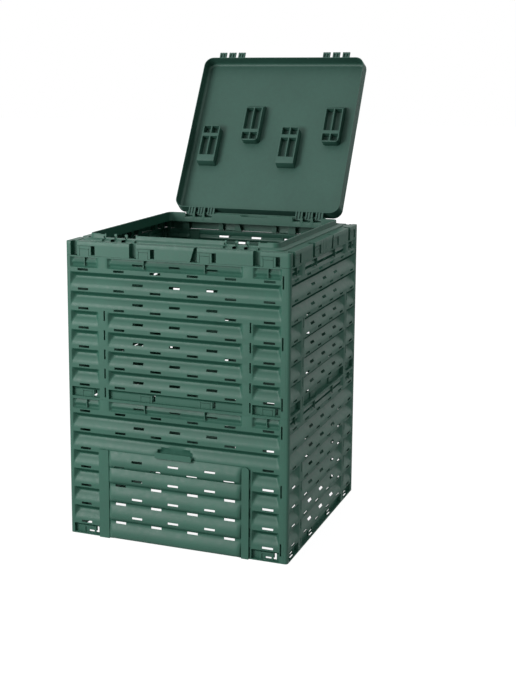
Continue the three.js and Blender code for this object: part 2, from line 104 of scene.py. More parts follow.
class WallSettings(bpy.types.PropertyGroup):
    """Sizes of the corrugated wall panels."""

    band_foot: length("Lowest band", "Height of the lowest band's centre in a panel", 46.4)
    band_pitch: length("Band spacing", "Distance from each band to the next", 66.87)
    band_height: length("Band height", "Height of a flat band", 16.4)
    wall: length("Wall", "Thickness of the moulded wall", 2.6)
    middle: length("Pattern middle", "Middle of the slot pattern from the body's middle", -2.9)
    end_strip: length("End strip", "Flat strip at each end of a panel", 15.8)
    column_width: length("Column width", "Width of the flat columns", 35)
    column_spread: length("Column place", "Distance of a column from the pattern's middle", 260.5)
    cell_run: length("Groove end", "Length of a groove's slanted end", 14)
    slot_length: length("Slot length", "Length of a ventilation slot", 39)
    slot_height: length("Slot height", "Height of a ventilation slot", 8)
    slot_pitch: length("Slot spacing", "Distance between slots of one band", 133.84)
    upper_slot_rise: length("Slope slots", "Height of the slots on a slope above their band", 23)
    clip_pitch: length("Clip spacing", "Distance between snap clips", 218.8)
    post: length("Corner post", "Width of a corner post", 13.4)
    post_radius: length("Corner radius", "Rounding of a corner post", 10)


class DoorSettings(bpy.types.PropertyGroup):
    """Sizes of the sliding door and its rails."""

    crest: length("Ridge reach", "How far a ridge stands out of the wall", 15.5)
    valley_rise: length("Valley rise", "Height of a valley above the band behind it", 15)
    end_round: length("End rounding", "Length over which a ridge's end rounds off", 16)
    left_rail: length("Left rail", "Width of the left rail", 37.3)
    right_rail: length("Right rail", "Width of the right rail", 25.7)
    handle_width: length("Handle width", "Width of the handle lip", 133)


class RimSettings(bpy.types.PropertyGroup):
    """Sizes of the rim that caps the walls."""

    recess_left: length("Recess start", "From a clip's middle to the start of the recess", -51)
    clip_left: length("Clip start", "From a clip's middle to its left edge", -26)
    clip_right: length("Clip end", "From a clip's middle to its right edge", 25)
    slit_right: length("Slit end", "From a clip's middle to the end of the slit", 40)
    recess_depth: length("Recess depth", "Depth of the recesses between the plates", 21)
    finger_width: length("Finger recess", "Width of the finger recess in the back edge", 118)


class LidSettings(bpy.types.PropertyGroup):
    """Sizes of the lid and the ribbed blocks under it."""

    wall: length("Wall", "Thickness of the lid's wall", 2.6)
    radius: length("Corner radius", "Rounding of the lid's corners", 35)
    knuckle_pitch: length("Knuckle spacing", "Distance between knuckles of one group", 40)
    block_pitch: length("Block spacing", "Distance between the ribbed blocks", 165.3)
    block_wall: length("Block wall", "Thickness of a block's walls", 5)


class FinishSettings(bpy.types.PropertyGroup):
    """Colours and surface of the moulded plastic."""

    panel: paint("Panels", "Colour of the wall panels", (0.034, 0.131, 0.091))
    rim: paint("Rim", "Colour of the rim", (0.034, 0.131, 0.091))
    door: paint("Door", "Colour of the door", (0.034, 0.131, 0.091))
    # the lid is the walls' plastic, coloured lighter and greyer than they are as a painted sheen
    lid: paint("Lid", "Colour of the lid", (0.056, 0.145, 0.112))
    roughness: fraction("Roughness", "Roughness of the plastic", 0.48)


class StageSettings(bpy.types.PropertyGroup):
    """Light and floor around the bin."""

    floor_colour: paint("Floor", "Colour of the floor", (0.18, 0.18, 0.18))
    key_power: power("Key light", "Power of the main lamp", 77.0)
    fill_power: power("Fill light", "Power of the weak lamp", 1.0)
    sky: fraction("Sky", "Strength of the soft light from above", 0.40)
    haze: fraction("Haze", "Strength of the soft light from the horizon", 0.12)


# Values that several pieces share

THREE_STEPS = (-1, 0, 1)  # things in a row about its middle, in steps of their spacing
FOUR_STEPS = (-1.5, -0.5, 0.5, 1.5)
SIX_STEPS = (-2.5, -1.5, -0.5, 0.5, 1.5, 2.5)
STEEP = 0.3 * MM  # half the width of a steep edge in a moulded sheet
SAME_LINE = 0.4 * STEEP  # hard lines closer than this are one
LEAST_LINE = 1.2 * MM  # soft lines stay this far from others
EDGE = 0.5 * MM  # rounding of small edges
FINE_EDGE = 0.3 * MM
SHARP = math.radians(32)
LEAST_LENGTH = 1e-6  # shorter lines of a finished mesh are closed up


def mesh_from(name, points, faces):
    """A new mesh from arrays of points and faces."""
    mesh = bpy.data.meshes.new(name)
    corners = [list(map(int, face)) for face in faces]
    mesh.from_pydata(np.asarray(points, float).tolist(), [], corners)
    mesh.update()
    return mesh


def steep_pair(*places):
    """Two lines close together at each place, for an almost upright edge."""
    return [place + side * STEEP for place in places for side in (-1, 1)]


def merge_lines(hard, soft):
    """Sorted grid lines: every hard one, and the soft ones that aren't close to another."""
    lines = []
    for value in sorted(hard):
        if not lines or value - lines[-1] > SAME_LINE:
            lines.append(value)
    low, high = lines[0], lines[-1]
    for value in sorted(soft):
        if low < value < high and min(abs(value - line) for line in lines) > LEAST_LINE:
            lines.append(value)
    return np.array(sorted(lines))


def soft_min(first, second, blend):
    """The lower of two heights, with a rounded change between them."""
    share = np.clip(0.5 + 0.5 * (second - first) / blend, 0, 1)
    return second * (1 - share) + first * share - blend * share * (1 - share)


def grid_faces(rows, columns, keep):
    """Quads of a grid whose points run row by row, without those that keep leaves out."""
    index = np.arange(rows * columns).reshape(rows, columns)
    quads = np.stack([index[:-1, :-1], index[:-1, 1:], index[1:, 1:], index[1:, :-1]], axis=-1)
    return quads[keep]


def middles(values):
    """The middle of each gap between sorted values."""
    return (values[1:] + values[:-1]) / 2


def outside_boxes(us, vs, boxes):
    """Which cells of the grid lie outside every box (u0, u1, v0, v1)."""
    u, v = np.meshgrid(middles(us), middles(vs))
    keep = np.ones_like(u, bool)
    for u0, u1, v0, v1 in boxes:
        keep &= ~((u > u0) & (u < u1) & (v > v0) & (v < v1))
    return keep


class Moulding:
    """Collects the closed forms of one moulded piece in a single mesh."""

    def __init__(self):
        self.form = bmesh.new()

    def add_mesh(self, mesh, turn=None):
        """Joins a mesh to the piece and frees it; a mirroring turn keeps its faces outward."""
        if turn is not None:
            mesh.transform(turn)
            if turn.determinant() < 0:
                mesh.flip_normals()
        self.form.from_mesh(mesh)
        bpy.data.meshes.remove(mesh)

    def add_sheet(self, mesh, thickness):
        """Joins an open sheet, thickened against its normals."""
        self.add_mesh(modified(mesh, "SOLIDIFY", {"thickness": thickness, "offset": -1.0}))

    def add_prism(self, outline, axis, start, end, edge=EDGE, turn=None):
        """Joins a straight bar: an outline drawn across one axis and pulled along it."""
        self.add_mesh(prism_mesh(outline, axis, start, end, edge), turn)

    def add_box(self, x, y, z, edge=EDGE, turn=None):
        """Joins a bar with square section and softened edges."""
        outline = [(x[0], y[0]), (x[1], y[0]), (x[1], y[1]), (x[0], y[1])]
        self.add_prism(outline, 2, z[0], z[1], edge, turn)

    def finish(self, name):
        """The piece as one mesh with smooth faces and sharp edges."""
        if not self.form.faces:
            raise RuntimeError(f"{name} has no faces")
        bmesh.ops.dissolve_degenerate(self.form, edges=self.form.edges, dist=LEAST_LENGTH)
        mesh = bpy.data.meshes.new(name)
        self.form.to_mesh(mesh)
        self.form.free()
        mesh.polygons.foreach_set("use_smooth", [True] * len(mesh.polygons))
        mesh.set_sharp_from_angle(angle=SHARP)
        return mesh


def linked_object(name, data):
    """A new object in the scene."""
    made = bpy.data.objects.new(name, data)
    bpy.context.scene.collection.objects.link(made)
    return made


def modified(mesh, kind, values):
    """The mesh after one modifier; the mesh itself is freed."""
    source = linked_object("working_form", mesh)
    modifier = source.modifiers.new(kind.title(), kind)
    for key, value in values.items():
        setattr(modifier, key, value)
    depsgraph = bpy.context.evaluated_depsgraph_get()
    made = bpy.data.meshes.new_from_object(source.evaluated_get(depsgraph), depsgraph=depsgraph)
    bpy.data.objects.remove(source)
    bpy.data.meshes.remove(mesh)
    return made


def prism_mesh(outline, axis, start, end, edge=0.0):
    """An outline drawn across an axis (0, 1 or 2) and pulled along it, with its edges softened."""
    form = bmesh.new()
    order = ((axis + 1) % 3, (axis + 2) % 3, axis)
    area = sum(a[0] * b[1] - b[0] * a[1] for a, b in zip(outline, outline[1:] + outline[:1]))
    points = list(outline) if area > 0 else list(outline)[::-1]
    rings = []
    for level in (start, end):
        ring = []
        for first, second in points:
            place = [0.0, 0.0, 0.0]
            for number, value in zip(order, (first, second, level)):
                place[number] = value
            ring.append(form.verts.new(place))
        rings.append(ring)
    count = len(points)
    form.faces.new(rings[0][::-1])
    form.faces.new(rings[1])
    for number in range(count):
        after = (number + 1) % count
        form.faces.new((rings[0][number], rings[0][after], rings[1][after], rings[1][number]))
    if edge:
        sharp = [line for line in form.edges if line.calc_face_angle(0.0) > SHARP]
        bmesh.ops.bevel(form, geom=sharp, offset=edge, segments=1, profile=0.5, affect="EDGES")
    mesh = bpy.data.meshes.new("prism")
    form.to_mesh(mesh)
    form.free()
    return mesh


def cut_mesh(mesh, cutter, operation="DIFFERENCE"):
    """The mesh cut by, or limited to, another closed mesh, which is freed."""
    knife = linked_object("cutting_form", cutter)
    values = {"object": knife, "operation": operation, "solver": "EXACT"}
    made = modified(mesh, "BOOLEAN", values)
    bpy.data.objects.remove(knife)
    bpy.data.meshes.remove(cutter)
    return made


def arc(centre, radius, start, end, steps):
    """Points of an arc, angles in degrees."""
    x, y = centre
    angles = np.radians(np.linspace(start, end, steps + 1))
    return [(x + radius * math.cos(angle), y + radius * math.sin(angle)) for angle in angles]


def place_piece(name, mesh, body, material, nodes, turn=None):
    """A finished piece in the scene: its place, finish, body and the solids that it stands for."""
    piece = linked_object(name, mesh)
    if turn is not None:
        piece.matrix_world = turn
    if not mesh.materials:
        mesh.materials.append(material)
    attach(piece, body)
    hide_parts(*nodes)
    return piece


# Nodes of the materials and the world

def add_node(tree, kind, inputs=(), **values):
    """A node with some of its settings and then some of its sockets filled in."""
    node = tree.nodes.new(kind)
    for key, value in values.items():
        setattr(node, key, value)
    for key, value in dict(inputs).items():
        node.inputs[key].default_value = value
    return node


def add_noise(tree, place, scale, detail, roughness=0.5):
    """Noise over the piece's own coordinates."""
    sockets = {"Scale": scale, "Detail": detail, "Roughness": roughness}
    node = add_node(tree, "ShaderNodeTexNoise", sockets)
    tree.links.new(place, node.inputs["Vector"])
    return node.outputs["Fac"]


def add_ramp(tree, source, stops):
    """A colour ramp with two stops, each a place and a colour."""
    node = add_node(tree, "ShaderNodeValToRGB")
    for element, (place, colour) in zip(node.color_ramp.elements, stops):
        element.position = place
        element.color = [*colour, 1.0]
    tree.links.new(source, node.inputs["Fac"])
    return node.outputs["Color"]


def add_range(tree, source, old, new, blend="LINEAR"):
    """Takes the old range of a value to the new one."""
    sockets = {"From Min": old[0], "From Max": old[1], "To Min": new[0], "To Max": new[1]}
    node = add_node(tree, "ShaderNodeMapRange", sockets, interpolation_type=blend)
    tree.links.new(source, node.inputs["Value"])
    return node.outputs["Result"]


def add_maths(tree, operation, first, second):
    """A sum, product or the like of a socket and a number or another socket."""
    node = add_node(tree, "ShaderNodeMath", operation=operation)
    tree.links.new(first, node.inputs[0])
    if isinstance(second, float):
        node.inputs[1].default_value = second
    else:
        tree.links.new(second, node.inputs[1])
    return node.outputs["Value"]


# Finish of the moulded plastic

CLOUD_SCALE, CLOUD_DETAIL = 5.0, 5.0
CLOUD_STOPS = ((0.30, 0.90), (0.72, 1.08))  # each a place in the noise and a share of the colour
SPECKLE_SCALE, SPECKLE_DETAIL, SPECKLE_ROUGHNESS = 60.0, 8.0, 0.7
SPECKLE_STOPS = ((0.35, 0.93), (0.70, 1.06))
DULL_FROM, DULL_LESS, DULL_MORE = (0.3, 0.7), 0.06, 0.09  # roughness follows the speckle
GRAIN_SCALE, GRAIN_DETAIL = 900.0, 2.0
GRAIN_STRENGTH, GRAIN_HEIGHT = 0.18, 0.3 * MM
# Painted shade and sheen: the plastic reflects less on faces turned away from the lit side, front
# and above, and not at all on those turned right or down
LIT_SIDE = (-0.2, -0.55, 0.81)
LIT_FACING_RANGE = (-0.4, 0.5)  # how far a face is turned to the lit side
PAINTED_SHEEN_RANGE = (0.0, 0.48)  # painted shade and sheen: reflection of faces turned away from and towards the lit side


def moulded_plastic(name, colour, roughness):
    """Satin recycled plastic: cloudy colour, speckle and fine grain, with painted shade: less
    reflection on faces turned away from the light.
    """
    material = bpy.data.materials.get(name)
    if material:
        return material
    material = bpy.data.materials.new(name)
    material.use_nodes = True
    tree = material.node_tree
    links = tree.links
    shader = tree.nodes["Principled BSDF"]
    place = add_node(tree, "ShaderNodeTexCoord").outputs["Object"]

    # painted shade and sheen: the reflection follows how far a face is turned to the lit side
    normal = add_node(tree, "ShaderNodeNewGeometry").outputs["Normal"]
    facing = add_node(tree, "ShaderNodeVectorMath", {1: LIT_SIDE}, operation="DOT_PRODUCT")
    links.new(normal, facing.inputs[0])
    gloss = add_range(tree, facing.outputs["Value"], LIT_FACING_RANGE, PAINTED_SHEEN_RANGE, "SMOOTHSTEP")
    links.new(gloss, shader.inputs["Specular IOR Level"])

    cloud = add_noise(tree, place, CLOUD_SCALE, CLOUD_DETAIL)
    stops = [(at, [amount * part for part in colour]) for at, amount in CLOUD_STOPS]
    tint = add_ramp(tree, cloud, stops)
    speckle = add_noise(tree, place, SPECKLE_SCALE, SPECKLE_DETAIL, SPECKLE_ROUGHNESS)
    speckle_tint = add_ramp(tree, speckle, [(at, 3 * [amount]) for at, amount in SPECKLE_STOPS])
    mix = add_node(tree, "ShaderNodeMix", data_type="RGBA", blend_type="MULTIPLY")
    mix.inputs["Factor"].default_value = 1.0
    links.new(tint, mix.inputs["A"])
    links.new(speckle_tint, mix.inputs["B"])
    links.new(mix.outputs["Result"], shader.inputs["Base Color"])

    dull = add_range(tree, speckle, DULL_FROM, (roughness - DULL_LESS, roughness + DULL_MORE))
    links.new(dull, shader.inputs["Roughness"])

    grain = add_noise(tree, place, GRAIN_SCALE, GRAIN_DETAIL)
    bump = add_node(tree, "ShaderNodeBump", {"Strength": GRAIN_STRENGTH, "Distance": GRAIN_HEIGHT})
    links.new(grain, bump.inputs["Height"])
    links.new(bump.outputs["Normal"], shader.inputs["Normal"])
    return material


# Wall panels, each built as the front one: u runs to the right, z up, depth away from the viewer

# profiles of the wall's hollows: heights, and how deep the wall lies there; those of a groove count
# down from the middle of the band over it
GROOVE_BELOW = np.array([8.2, 10, 14, 18, 22, 25, 28, 34, 41, 50, 57.5, 58.6]) * MM
GROOVE_DEPTH = np.array([0, 1.2, 6, 11.5, 15.5, 17, 16.6, 12.5, 7.5, 2.6, 0.2, 0]) * MM
GROOVE_DEEPEST = GROOVE_DEPTH.max()
COMPARTMENT_RISE = np.array([7, 9, 12, 15, 18, 22, 26, 32, 38, 43]) * MM  # above the highest band
COMPARTMENT_DEPTH = np.array([0, 3, 7.5, 10, 9.6, 7, 5, 8.5, 12, 12.4]) * MM
FOOT_RISE = np.array([0, 3.6, 3.95, 4.15, 4.4, 26, 29, 32, 35, 37.4]) * MM
FOOT_DEPTH = np.array([0, 0, 7.2, 12, 13, 13, 12, 9.4, 5, 0]) * MM
FOOT_STEEP = 5  # so many heights of the foot belong to its steep part
FOOT_PASSAGE = (3.95 * MM, 4.15 * MM)  # heights in the foot's floor between which a tongue passes
CELL_LINES = (0.15, 0.35, 0.6, 0.85, 1.1)  # grid lines on a cell's ends, as shares of them
ROUNDING = 2.5 * MM  # where a groove meets its slanted end
FLANGE_FOOT = 489.9 * MM
PANEL_TOP = 494.7 * MM
PANEL_PLAY = 0.3 * MM
FLANGE_DEPTH = 16 * MM
FLANGE_SKIN = (0.5 * MM, 1.2 * MM, 0.05 * MM)  # of the sheet before, under and over the flange
POST_EDGE, POST_STEPS = 0.4 * MM, 8
COLUMN_SLOT_WIDTH = 5 * MM
COLUMN_SLOT_PLACES = (-258.7 * MM, 267.1 * MM)
COLUMN_SLOT_BELOW = (38 * MM, 4 * MM)  # its foot and top under a band's middle
BLIND_DEPTH = 9 * MM  # of the column slots and the hooks' seats
HOOK_PLACE, HOOK_WIDTH, HOOK_HEIGHT = 377.3 * MM, 5 * MM, 43 * MM
HOOK_BANDS = (0, 3, 6)
WEB_WIDTH = 3 * MM
WEB_DEPTH = (0.4 * MM, 13 * MM)  # of a web's front and back
WEB_RISE = (12 * MM, 20 * MM)  # of a web's front and back foot above the highest band
TONGUE_REACH = 16.4 * MM  # to each side of a clip's middle
TONGUE_SLIT = 1.3 * MM
PASSAGE_REACH = TONGUE_REACH + TONGUE_SLIT
TONGUE_TOP = 22 * MM  # above the tier
CLIP_WALL = 3 * MM
PAD_REACH = (-26 * MM, 25 * MM)  # from a clip's middle
PAD_DEPTH = 9.6 * MM
PAD_FOOT = 4 * MM
PAD_TOP = 28.5 * MM
CLIP_SLIT, CLIP_SLIT_RISE = (28 * MM, 35 * MM), (7 * MM, 29 * MM)  # from a clip's middle, and up
FOOT_SLOT, FOOT_SLOT_RISE = (-4 * MM, 35 * MM), (7 * MM, 13 * MM)
SCOOP_CENTRE = 10 * MM  # the finger scoop's middle above the door's top
SCOOP_HEIGHT = 27 * MM
SCOOP_DEPTH = 16.5 * MM
SCOOP_SLOPE = 6  # how steeply the scoop's edge falls
SCOOP_LINES = np.array([-1.01, -0.97, -0.9, -0.8, -0.6, 0.6, 0.8, 0.9, 0.97, 1.01])
OPENING = (-235.4 * MM, 229.6 * MM, 296 * MM)  # left, right and top of the hole behind the door
RAIL_FACE = 6.8 * MM  # how far a rail stands out
RAIL_LIP = 3.2 * MM
RAIL_TOP = 318 * MM
RAIL_EDGE, RAIL_STEPS = 0.8 * MM, 12
RAIL_PLAY = MM
DOOR_FLANGE = 8.6 * MM  # the door's edge in each rail


def band_centre(wall, band):
    """Height of a band's middle in its panel."""
    return wall.band_foot + band * wall.band_pitch


def wall_cells(wall):
    """The three cells between the columns, as ranges of u."""
    left = -HALF + wall.end_strip
    right = HALF - wall.post - wall.end_strip
    middle, near = wall.middle, wall.column_spread - wall.column_width / 2
    far = wall.column_spread + wall.column_width / 2
    return [(left, middle - far), (middle - near, middle + near), (middle + far, right)]


def clip_places(wall):
    """Middles of the snap clips along a side."""
    return [wall.middle + step * wall.clip_pitch for step in FOUR_STEPS]


def span_ends(u, span, run, depth):
    """A slope that rises from both ends of a span."""
    return np.minimum(u - span[0], span[1] - u) * depth / run


def wall_depth(wall, u, z, has_door, handle):
    """How deep the wall's outer face lies behind its plane."""
    cells = wall_cells(wall)
    whole = (cells[0][0], cells[2][1])
    depth = np.zeros_like(u)
    for row in range(BAND_COUNT - 1):
        below = band_centre(wall, row + 1) - z
        profile = np.interp(below, GROOVE_BELOW, GROOVE_DEPTH, left=0, right=0)
        spans = [whole] if row >= BAND_COUNT - 1 - FULL_ROWS else cells
        for span in spans:
            if has_door and span == cells[1]:
                continue
            ends = span_ends(u, span, wall.cell_run, GROOVE_DEEPEST)
            depth = np.maximum(depth, soft_min(profile, ends, ROUNDING))
    rise = z - band_centre(wall, BAND_COUNT - 1)
    under_flange = np.interp(rise, COMPARTMENT_RISE, COMPARTMENT_DEPTH, left=0)
    foot = np.interp(z, FOOT_RISE, FOOT_DEPTH, right=0)
    for span in cells:
        ends = span_ends(u, span, wall.cell_run, GROOVE_DEEPEST)
        hollow = np.where(z < FLANGE_FOOT, soft_min(under_flange, ends, ROUNDING), 0)
        depth = np.maximum(depth, hollow)
        if not (has_door and span == cells[1]):
            inside = (u > span[0]) & (u < span[1])
            depth = np.maximum(depth, np.where(inside, foot, 0))
    if has_door:
        top = RAIL_TOP - MM
        share = ((u - handle[0]) / handle[1]) ** 2 + ((z - top - SCOOP_CENTRE) / SCOOP_HEIGHT) ** 2
        bowl = SCOOP_DEPTH * np.clip(SCOOP_SLOPE * (1 - share), 0, 1)
        scoop = np.where(z > top - 2 * MM, bowl, 0)
        depth = np.maximum(depth, scoop)
    for u0, u1, z0, z1 in blind_slots(wall):
        inside = (u > u0) & (u < u1) & (z > z0) & (z < z1)
        depth = np.where(inside, np.maximum(depth, BLIND_DEPTH), depth)
    return depth


def blind_slots(wall):
    """Upright slots that don't go through: those in the columns and the corner hooks' seats."""
    boxes = []
    reach, rise = HOOK_WIDTH / 2, HOOK_HEIGHT / 2
    for band in range(BAND_COUNT):
        z = band_centre(wall, band)
        if band <= DOOR_BANDS:
            low, high = COLUMN_SLOT_BELOW
            boxes += [(u - COLUMN_SLOT_WIDTH / 2, u + COLUMN_SLOT_WIDTH / 2, z - low, z - high)
                      for u in COLUMN_SLOT_PLACES]
        if band in HOOK_BANDS:
            boxes.append((HOOK_PLACE - reach, HOOK_PLACE + reach, z - rise, z + rise))
    return boxes


def slot_box(wall, u, z):
    """A ventilation slot about its middle, as a box (u0, u1, z0, z1)."""
    half_length, half_height = wall.slot_length / 2, wall.slot_height / 2
    return (u - half_length, u + half_length, z - half_height, z + half_height)


def wall_openings(wall, has_door):
    """Slots of a panel, as boxes (u0, u1, z0, z1)."""
    boxes = []
    cells = wall_cells(wall)
    for band in range(BAND_COUNT):
        z = band_centre(wall, band)
        places = [(step, z) for step in SIX_STEPS]
        places += [(step, z + wall.upper_slot_rise) for step in THREE_STEPS]
        for step, level in places:
            u = wall.middle + step * wall.slot_pitch
            behind_door = has_door and band <= DOOR_BANDS and cells[1][0] < u < cells[1][1]
            if not behind_door:
                boxes.append(slot_box(wall, u, level))
    for u in clip_places(wall):
        if has_door and cells[1][0] < u < cells[1][1]:
            continue
        boxes.append((u + CLIP_SLIT[0], u + CLIP_SLIT[1], *CLIP_SLIT_RISE))
        boxes.append((u + FOOT_SLOT[0], u + FOOT_SLOT[1], *FOOT_SLOT_RISE))
        boxes.append((u - PASSAGE_REACH, u + PASSAGE_REACH, *FOOT_PASSAGE))
    if has_door:
        boxes.append((OPENING[0], OPENING[1], -MM, OPENING[2]))
    return boxes


def wall_sheet(wall, has_door, handle):
    """The corrugated face of a panel with its slots left out."""
    left, right = -HALF + wall.post, HALF - wall.post - PANEL_PLAY
    cells = wall_cells(wall)
    boxes = wall_openings(wall, has_door)
    hard_u = [left, right]
    soft_u = []
    for span in cells:
        hard_u += steep_pair(*span)
        for share in CELL_LINES:
            soft_u += [span[0] + share * wall.cell_run, span[1] - share * wall.cell_run]
    hard_z = [0.0, PANEL_TOP, *steep_pair(FLANGE_FOOT), *FOOT_RISE[1:FOOT_STEEP]]
    soft_z = list(FOOT_RISE[FOOT_STEEP:])
    top_band = band_centre(wall, BAND_COUNT - 1)
    soft_z += list(top_band + COMPARTMENT_RISE)
    for row in range(BAND_COUNT - 1):
        soft_z += list(band_centre(wall, row + 1) - GROOVE_BELOW)
    for u0, u1, z0, z1 in boxes:
        hard_u += [u0, u1]
        hard_z += [level for level in (z0, z1) if 0 < level < PANEL_TOP]
    for u0, u1, z0, z1 in blind_slots(wall):
        hard_u += steep_pair(u0, u1)
        hard_z += steep_pair(z0, z1)
    if has_door:
        soft_u += list(handle[0] + handle[1] * SCOOP_LINES)
    us, zs = merge_lines(hard_u, soft_u), merge_lines(hard_z, soft_z)
    u, z = np.meshgrid(us, zs)
    depth = wall_depth(wall, u, z, has_door, handle)
    points = np.stack([u, depth - HALF, z], axis=-1).reshape(-1, 3)
    keep = outside_boxes(us, zs, boxes)
    return mesh_from("wall_sheet", points, grid_faces(len(zs), len(us), keep))


def side_turn(side):
    """The turn that takes the front side to another one."""
    return Matrix.Rotation(side * math.pi / 2, 4, "Z")


def post_outline(wall):
    """Section of a corner post with its rounded outer corner."""
    inner = -HALF + wall.post
    centre = -HALF + wall.post_radius
    rounded = arc((centre, centre), wall.post_radius, 180, 270, POST_STEPS)
    return [*rounded, (inner, -HALF), (inner, inner), (-HALF, inner)]


def add_tongues(moulding, wall, depth):
    """Springy tongues on a panel's flange."""
    y = (depth - HALF, depth + CLIP_WALL - HALF)
    heights = (PANEL_TOP - MM, TIER_HEIGHT + TONGUE_TOP)
    for u in clip_places(wall):
        moulding.add_box((u - TONGUE_REACH, u + TONGUE_REACH), y, heights)


def add_pads(moulding, places, depth, foot, lintel, top, turn=None):
    """The pad around each tongue: two uprights and a bar over the U-shaped slit."""
    y = (depth - HALF, depth + CLIP_WALL - HALF)
    reach = PASSAGE_REACH
    for u in places:
        moulding.add_box((u + PAD_REACH[0], u - reach), y, (foot, top), turn=turn)
        moulding.add_box((u + reach, u + PAD_REACH[1]), y, (foot, top), turn=turn)
        moulding.add_box((u - reach - MM, u + reach + MM), y, (lintel, top), turn=turn)


def add_webs(moulding, wall):
    """Upright webs in the compartments under the flange."""
    top_band = band_centre(wall, BAND_COUNT - 1)
    front, back = (depth - HALF for depth in WEB_DEPTH)
    rises = [top_band + rise for rise in WEB_RISE]
    outline = [(front, FLANGE_FOOT), (front, rises[0]), (back, rises[1]), (back, FLANGE_FOOT)]
    for u in clip_places(wall):
        moulding.add_prism(outline, 0, u - WEB_WIDTH / 2, u + WEB_WIDTH / 2, edge=FINE_EDGE)


def rail_mesh(x_block, x_lip, round_top):
    """A door rail: a block beside the door with a lip in front of the door's flange."""
    face, lip_back = -HALF - RAIL_FACE, -HALF - RAIL_FACE + RAIL_LIP
    back = -HALF + MM
    far, near = x_block if x_lip > x_block[0] else x_block[::-1]
    outline = [(far, back), (far, face), (x_lip, face), (x_lip, lip_back), (near, lip_back),
               (near, back)]
    bar = prism_mesh(outline, 2, 0.0, RAIL_TOP, RAIL_EDGE)
    if not round_top:
        return bar
    x0, x1 = min(*x_block, x_lip) - MM, max(*x_block, x_lip) + MM
    radius = (x1 - x0) / 2
    dome = arc(((x0 + x1) / 2, RAIL_TOP - radius), radius, 0, 180, RAIL_STEPS)
    room = [(x0, -MM), (x1, -MM), *dome]
    limit = prism_mesh([(z, x) for x, z in room], 1, -HALF - 2 * RAIL_FACE, -HALF + RAIL_FACE)
    return cut_mesh(bar, limit, "INTERSECT")


def panel_mesh(name, wall, door, tongue_depth, has_door=False):
    """One whole panel: face, post, flange, webs, tongues and pads, and a door's rails."""
    moulding = Moulding()
    handle = (wall.middle, door.handle_width / 2)
    moulding.add_sheet(wall_sheet(wall, has_door, handle), wall.wall)
    moulding.add_prism(post_outline(wall), 2, 0.0, PANEL_TOP, edge=POST_EDGE)
    in_front, below, above = FLANGE_SKIN
    flange = (-HALF + in_front, -HALF + FLANGE_DEPTH)
    left, right = -HALF + FLANGE_DEPTH + MM, HALF - wall.post - PANEL_PLAY
    moulding.add_box((left, right), flange, (FLANGE_FOOT + below, PANEL_TOP - above))
    add_webs(moulding, wall)
    add_tongues(moulding, wall, tongue_depth)
    near, far = wall_cells(wall)[1]
    places = [u for u in clip_places(wall) if not (has_door and near < u < far)]
    add_pads(moulding, places, PAD_DEPTH, PAD_FOOT, TONGUE_TOP + TONGUE_SLIT, PAD_TOP)
    if has_door:
        left_block = (near - RAIL_PLAY - door.left_rail, near - DOOR_FLANGE)
        right_block = (far + DOOR_FLANGE, far + RAIL_PLAY + door.right_rail)
        moulding.add_mesh(rail_mesh(left_block, near - RAIL_PLAY, False))
        moulding.add_mesh(rail_mesh(right_block, far + RAIL_PLAY, True))
    return moulding.finish(name)


class COMPOSTBIN_OT_walls(bpy.types.Operator):
    """Builds the eight slotted wall panels"""

    bl_idname = "compostbin.walls"
    bl_label = "Wall Panels"

    def execute(self, context):
        settings = context.scene.compost_bin
        wall, door, finish = settings.wall, settings.door, settings.finish
        material = moulded_plastic("panel_plastic", finish.panel, finish.roughness)
        lower = panel_mesh("lower_panel_form", wall, door, PAD_DEPTH)
        upper = panel_mesh("upper_panel_form", wall, door, RIM_PAD_DEPTH)
        front = panel_mesh("door_panel_form", wall, door, PAD_DEPTH, has_door=True)
        for tier, tier_name in enumerate(TIERS):
            for side, side_name in enumerate(SIDES):
                node = f"{tier_name}_{side_name}_panel"
                mesh = front if (tier, side) == (0, 0) else (lower, upper)[tier]
                turn = Matrix.Translation((0, 0, tier * TIER_HEIGHT)) @ side_turn(side)
                name = f"{tier_name}_{side_name}_wall"
                place_piece(name, mesh, "bin", material, [node], turn)
        return {"FINISHED"}


# Door: ridges that droop, slots in the valleys and on the crests, and a lip to lift it by

# heights under a ridge's upper valley, and the shares of its reach there
RIDGE_BELOW = np.array([0, 4, 10, 18, 28, 36, 42, 47, 52, 57, 61.5, 63.5]) * MM
RIDGE_SHARE = np.array([0, 0.04, 0.27, 0.58, 0.87, 0.98, 1.0, 0.96, 0.82, 0.52, 0.12, 0])
DOOR_BACK = 0.6 * MM  # its gap to the wall
DOOR_SKIN = 2.5 * MM
DOOR_FOOT = 5 * MM
DOOR_TOP_RISE = 3.2 * MM  # above the middle of the band behind it
DOOR_PLAY = 0.6 * MM
DOOR_LINES = (0.06, 0.15, 0.3, 0.5, 0.75, 1.0)  # grid lines on a ridge's ends, as shares of them
CREST_SLOT_RISE = 27 * MM  # above a valley
HANDLE_REACH = 14.5 * MM
HANDLE_HEIGHT = 17 * MM
HANDLE_WALL = 3 * MM
HANDLE_ROUND, HANDLE_STEPS = 5 * MM, 5
HANDLE_EDGE = 0.8 * MM


def valley_heights(wall, door):
    """Heights of the valleys between the door's ridges."""
    return [band_centre(wall, band) + door.valley_rise for band in range(DOOR_BANDS)]


def door_reach(wall, door, u, z, span, top):
    """How far the door's face stands out of the wall."""
    base = DOOR_BACK + DOOR_SKIN
    reach = np.full_like(u, base)
    inside = np.clip(np.minimum(u - span[0], span[1] - u) / door.end_round, 0, 1)
    ends = np.sqrt(1 - (1 - inside) ** 2)
    for upper in [*valley_heights(wall, door), top + MM]:
        share = np.interp(upper - z, RIDGE_BELOW, RIDGE_SHARE, left=0, right=0)
        reach = np.maximum(reach, base + (door.crest - base) * share * ends)
    return reach


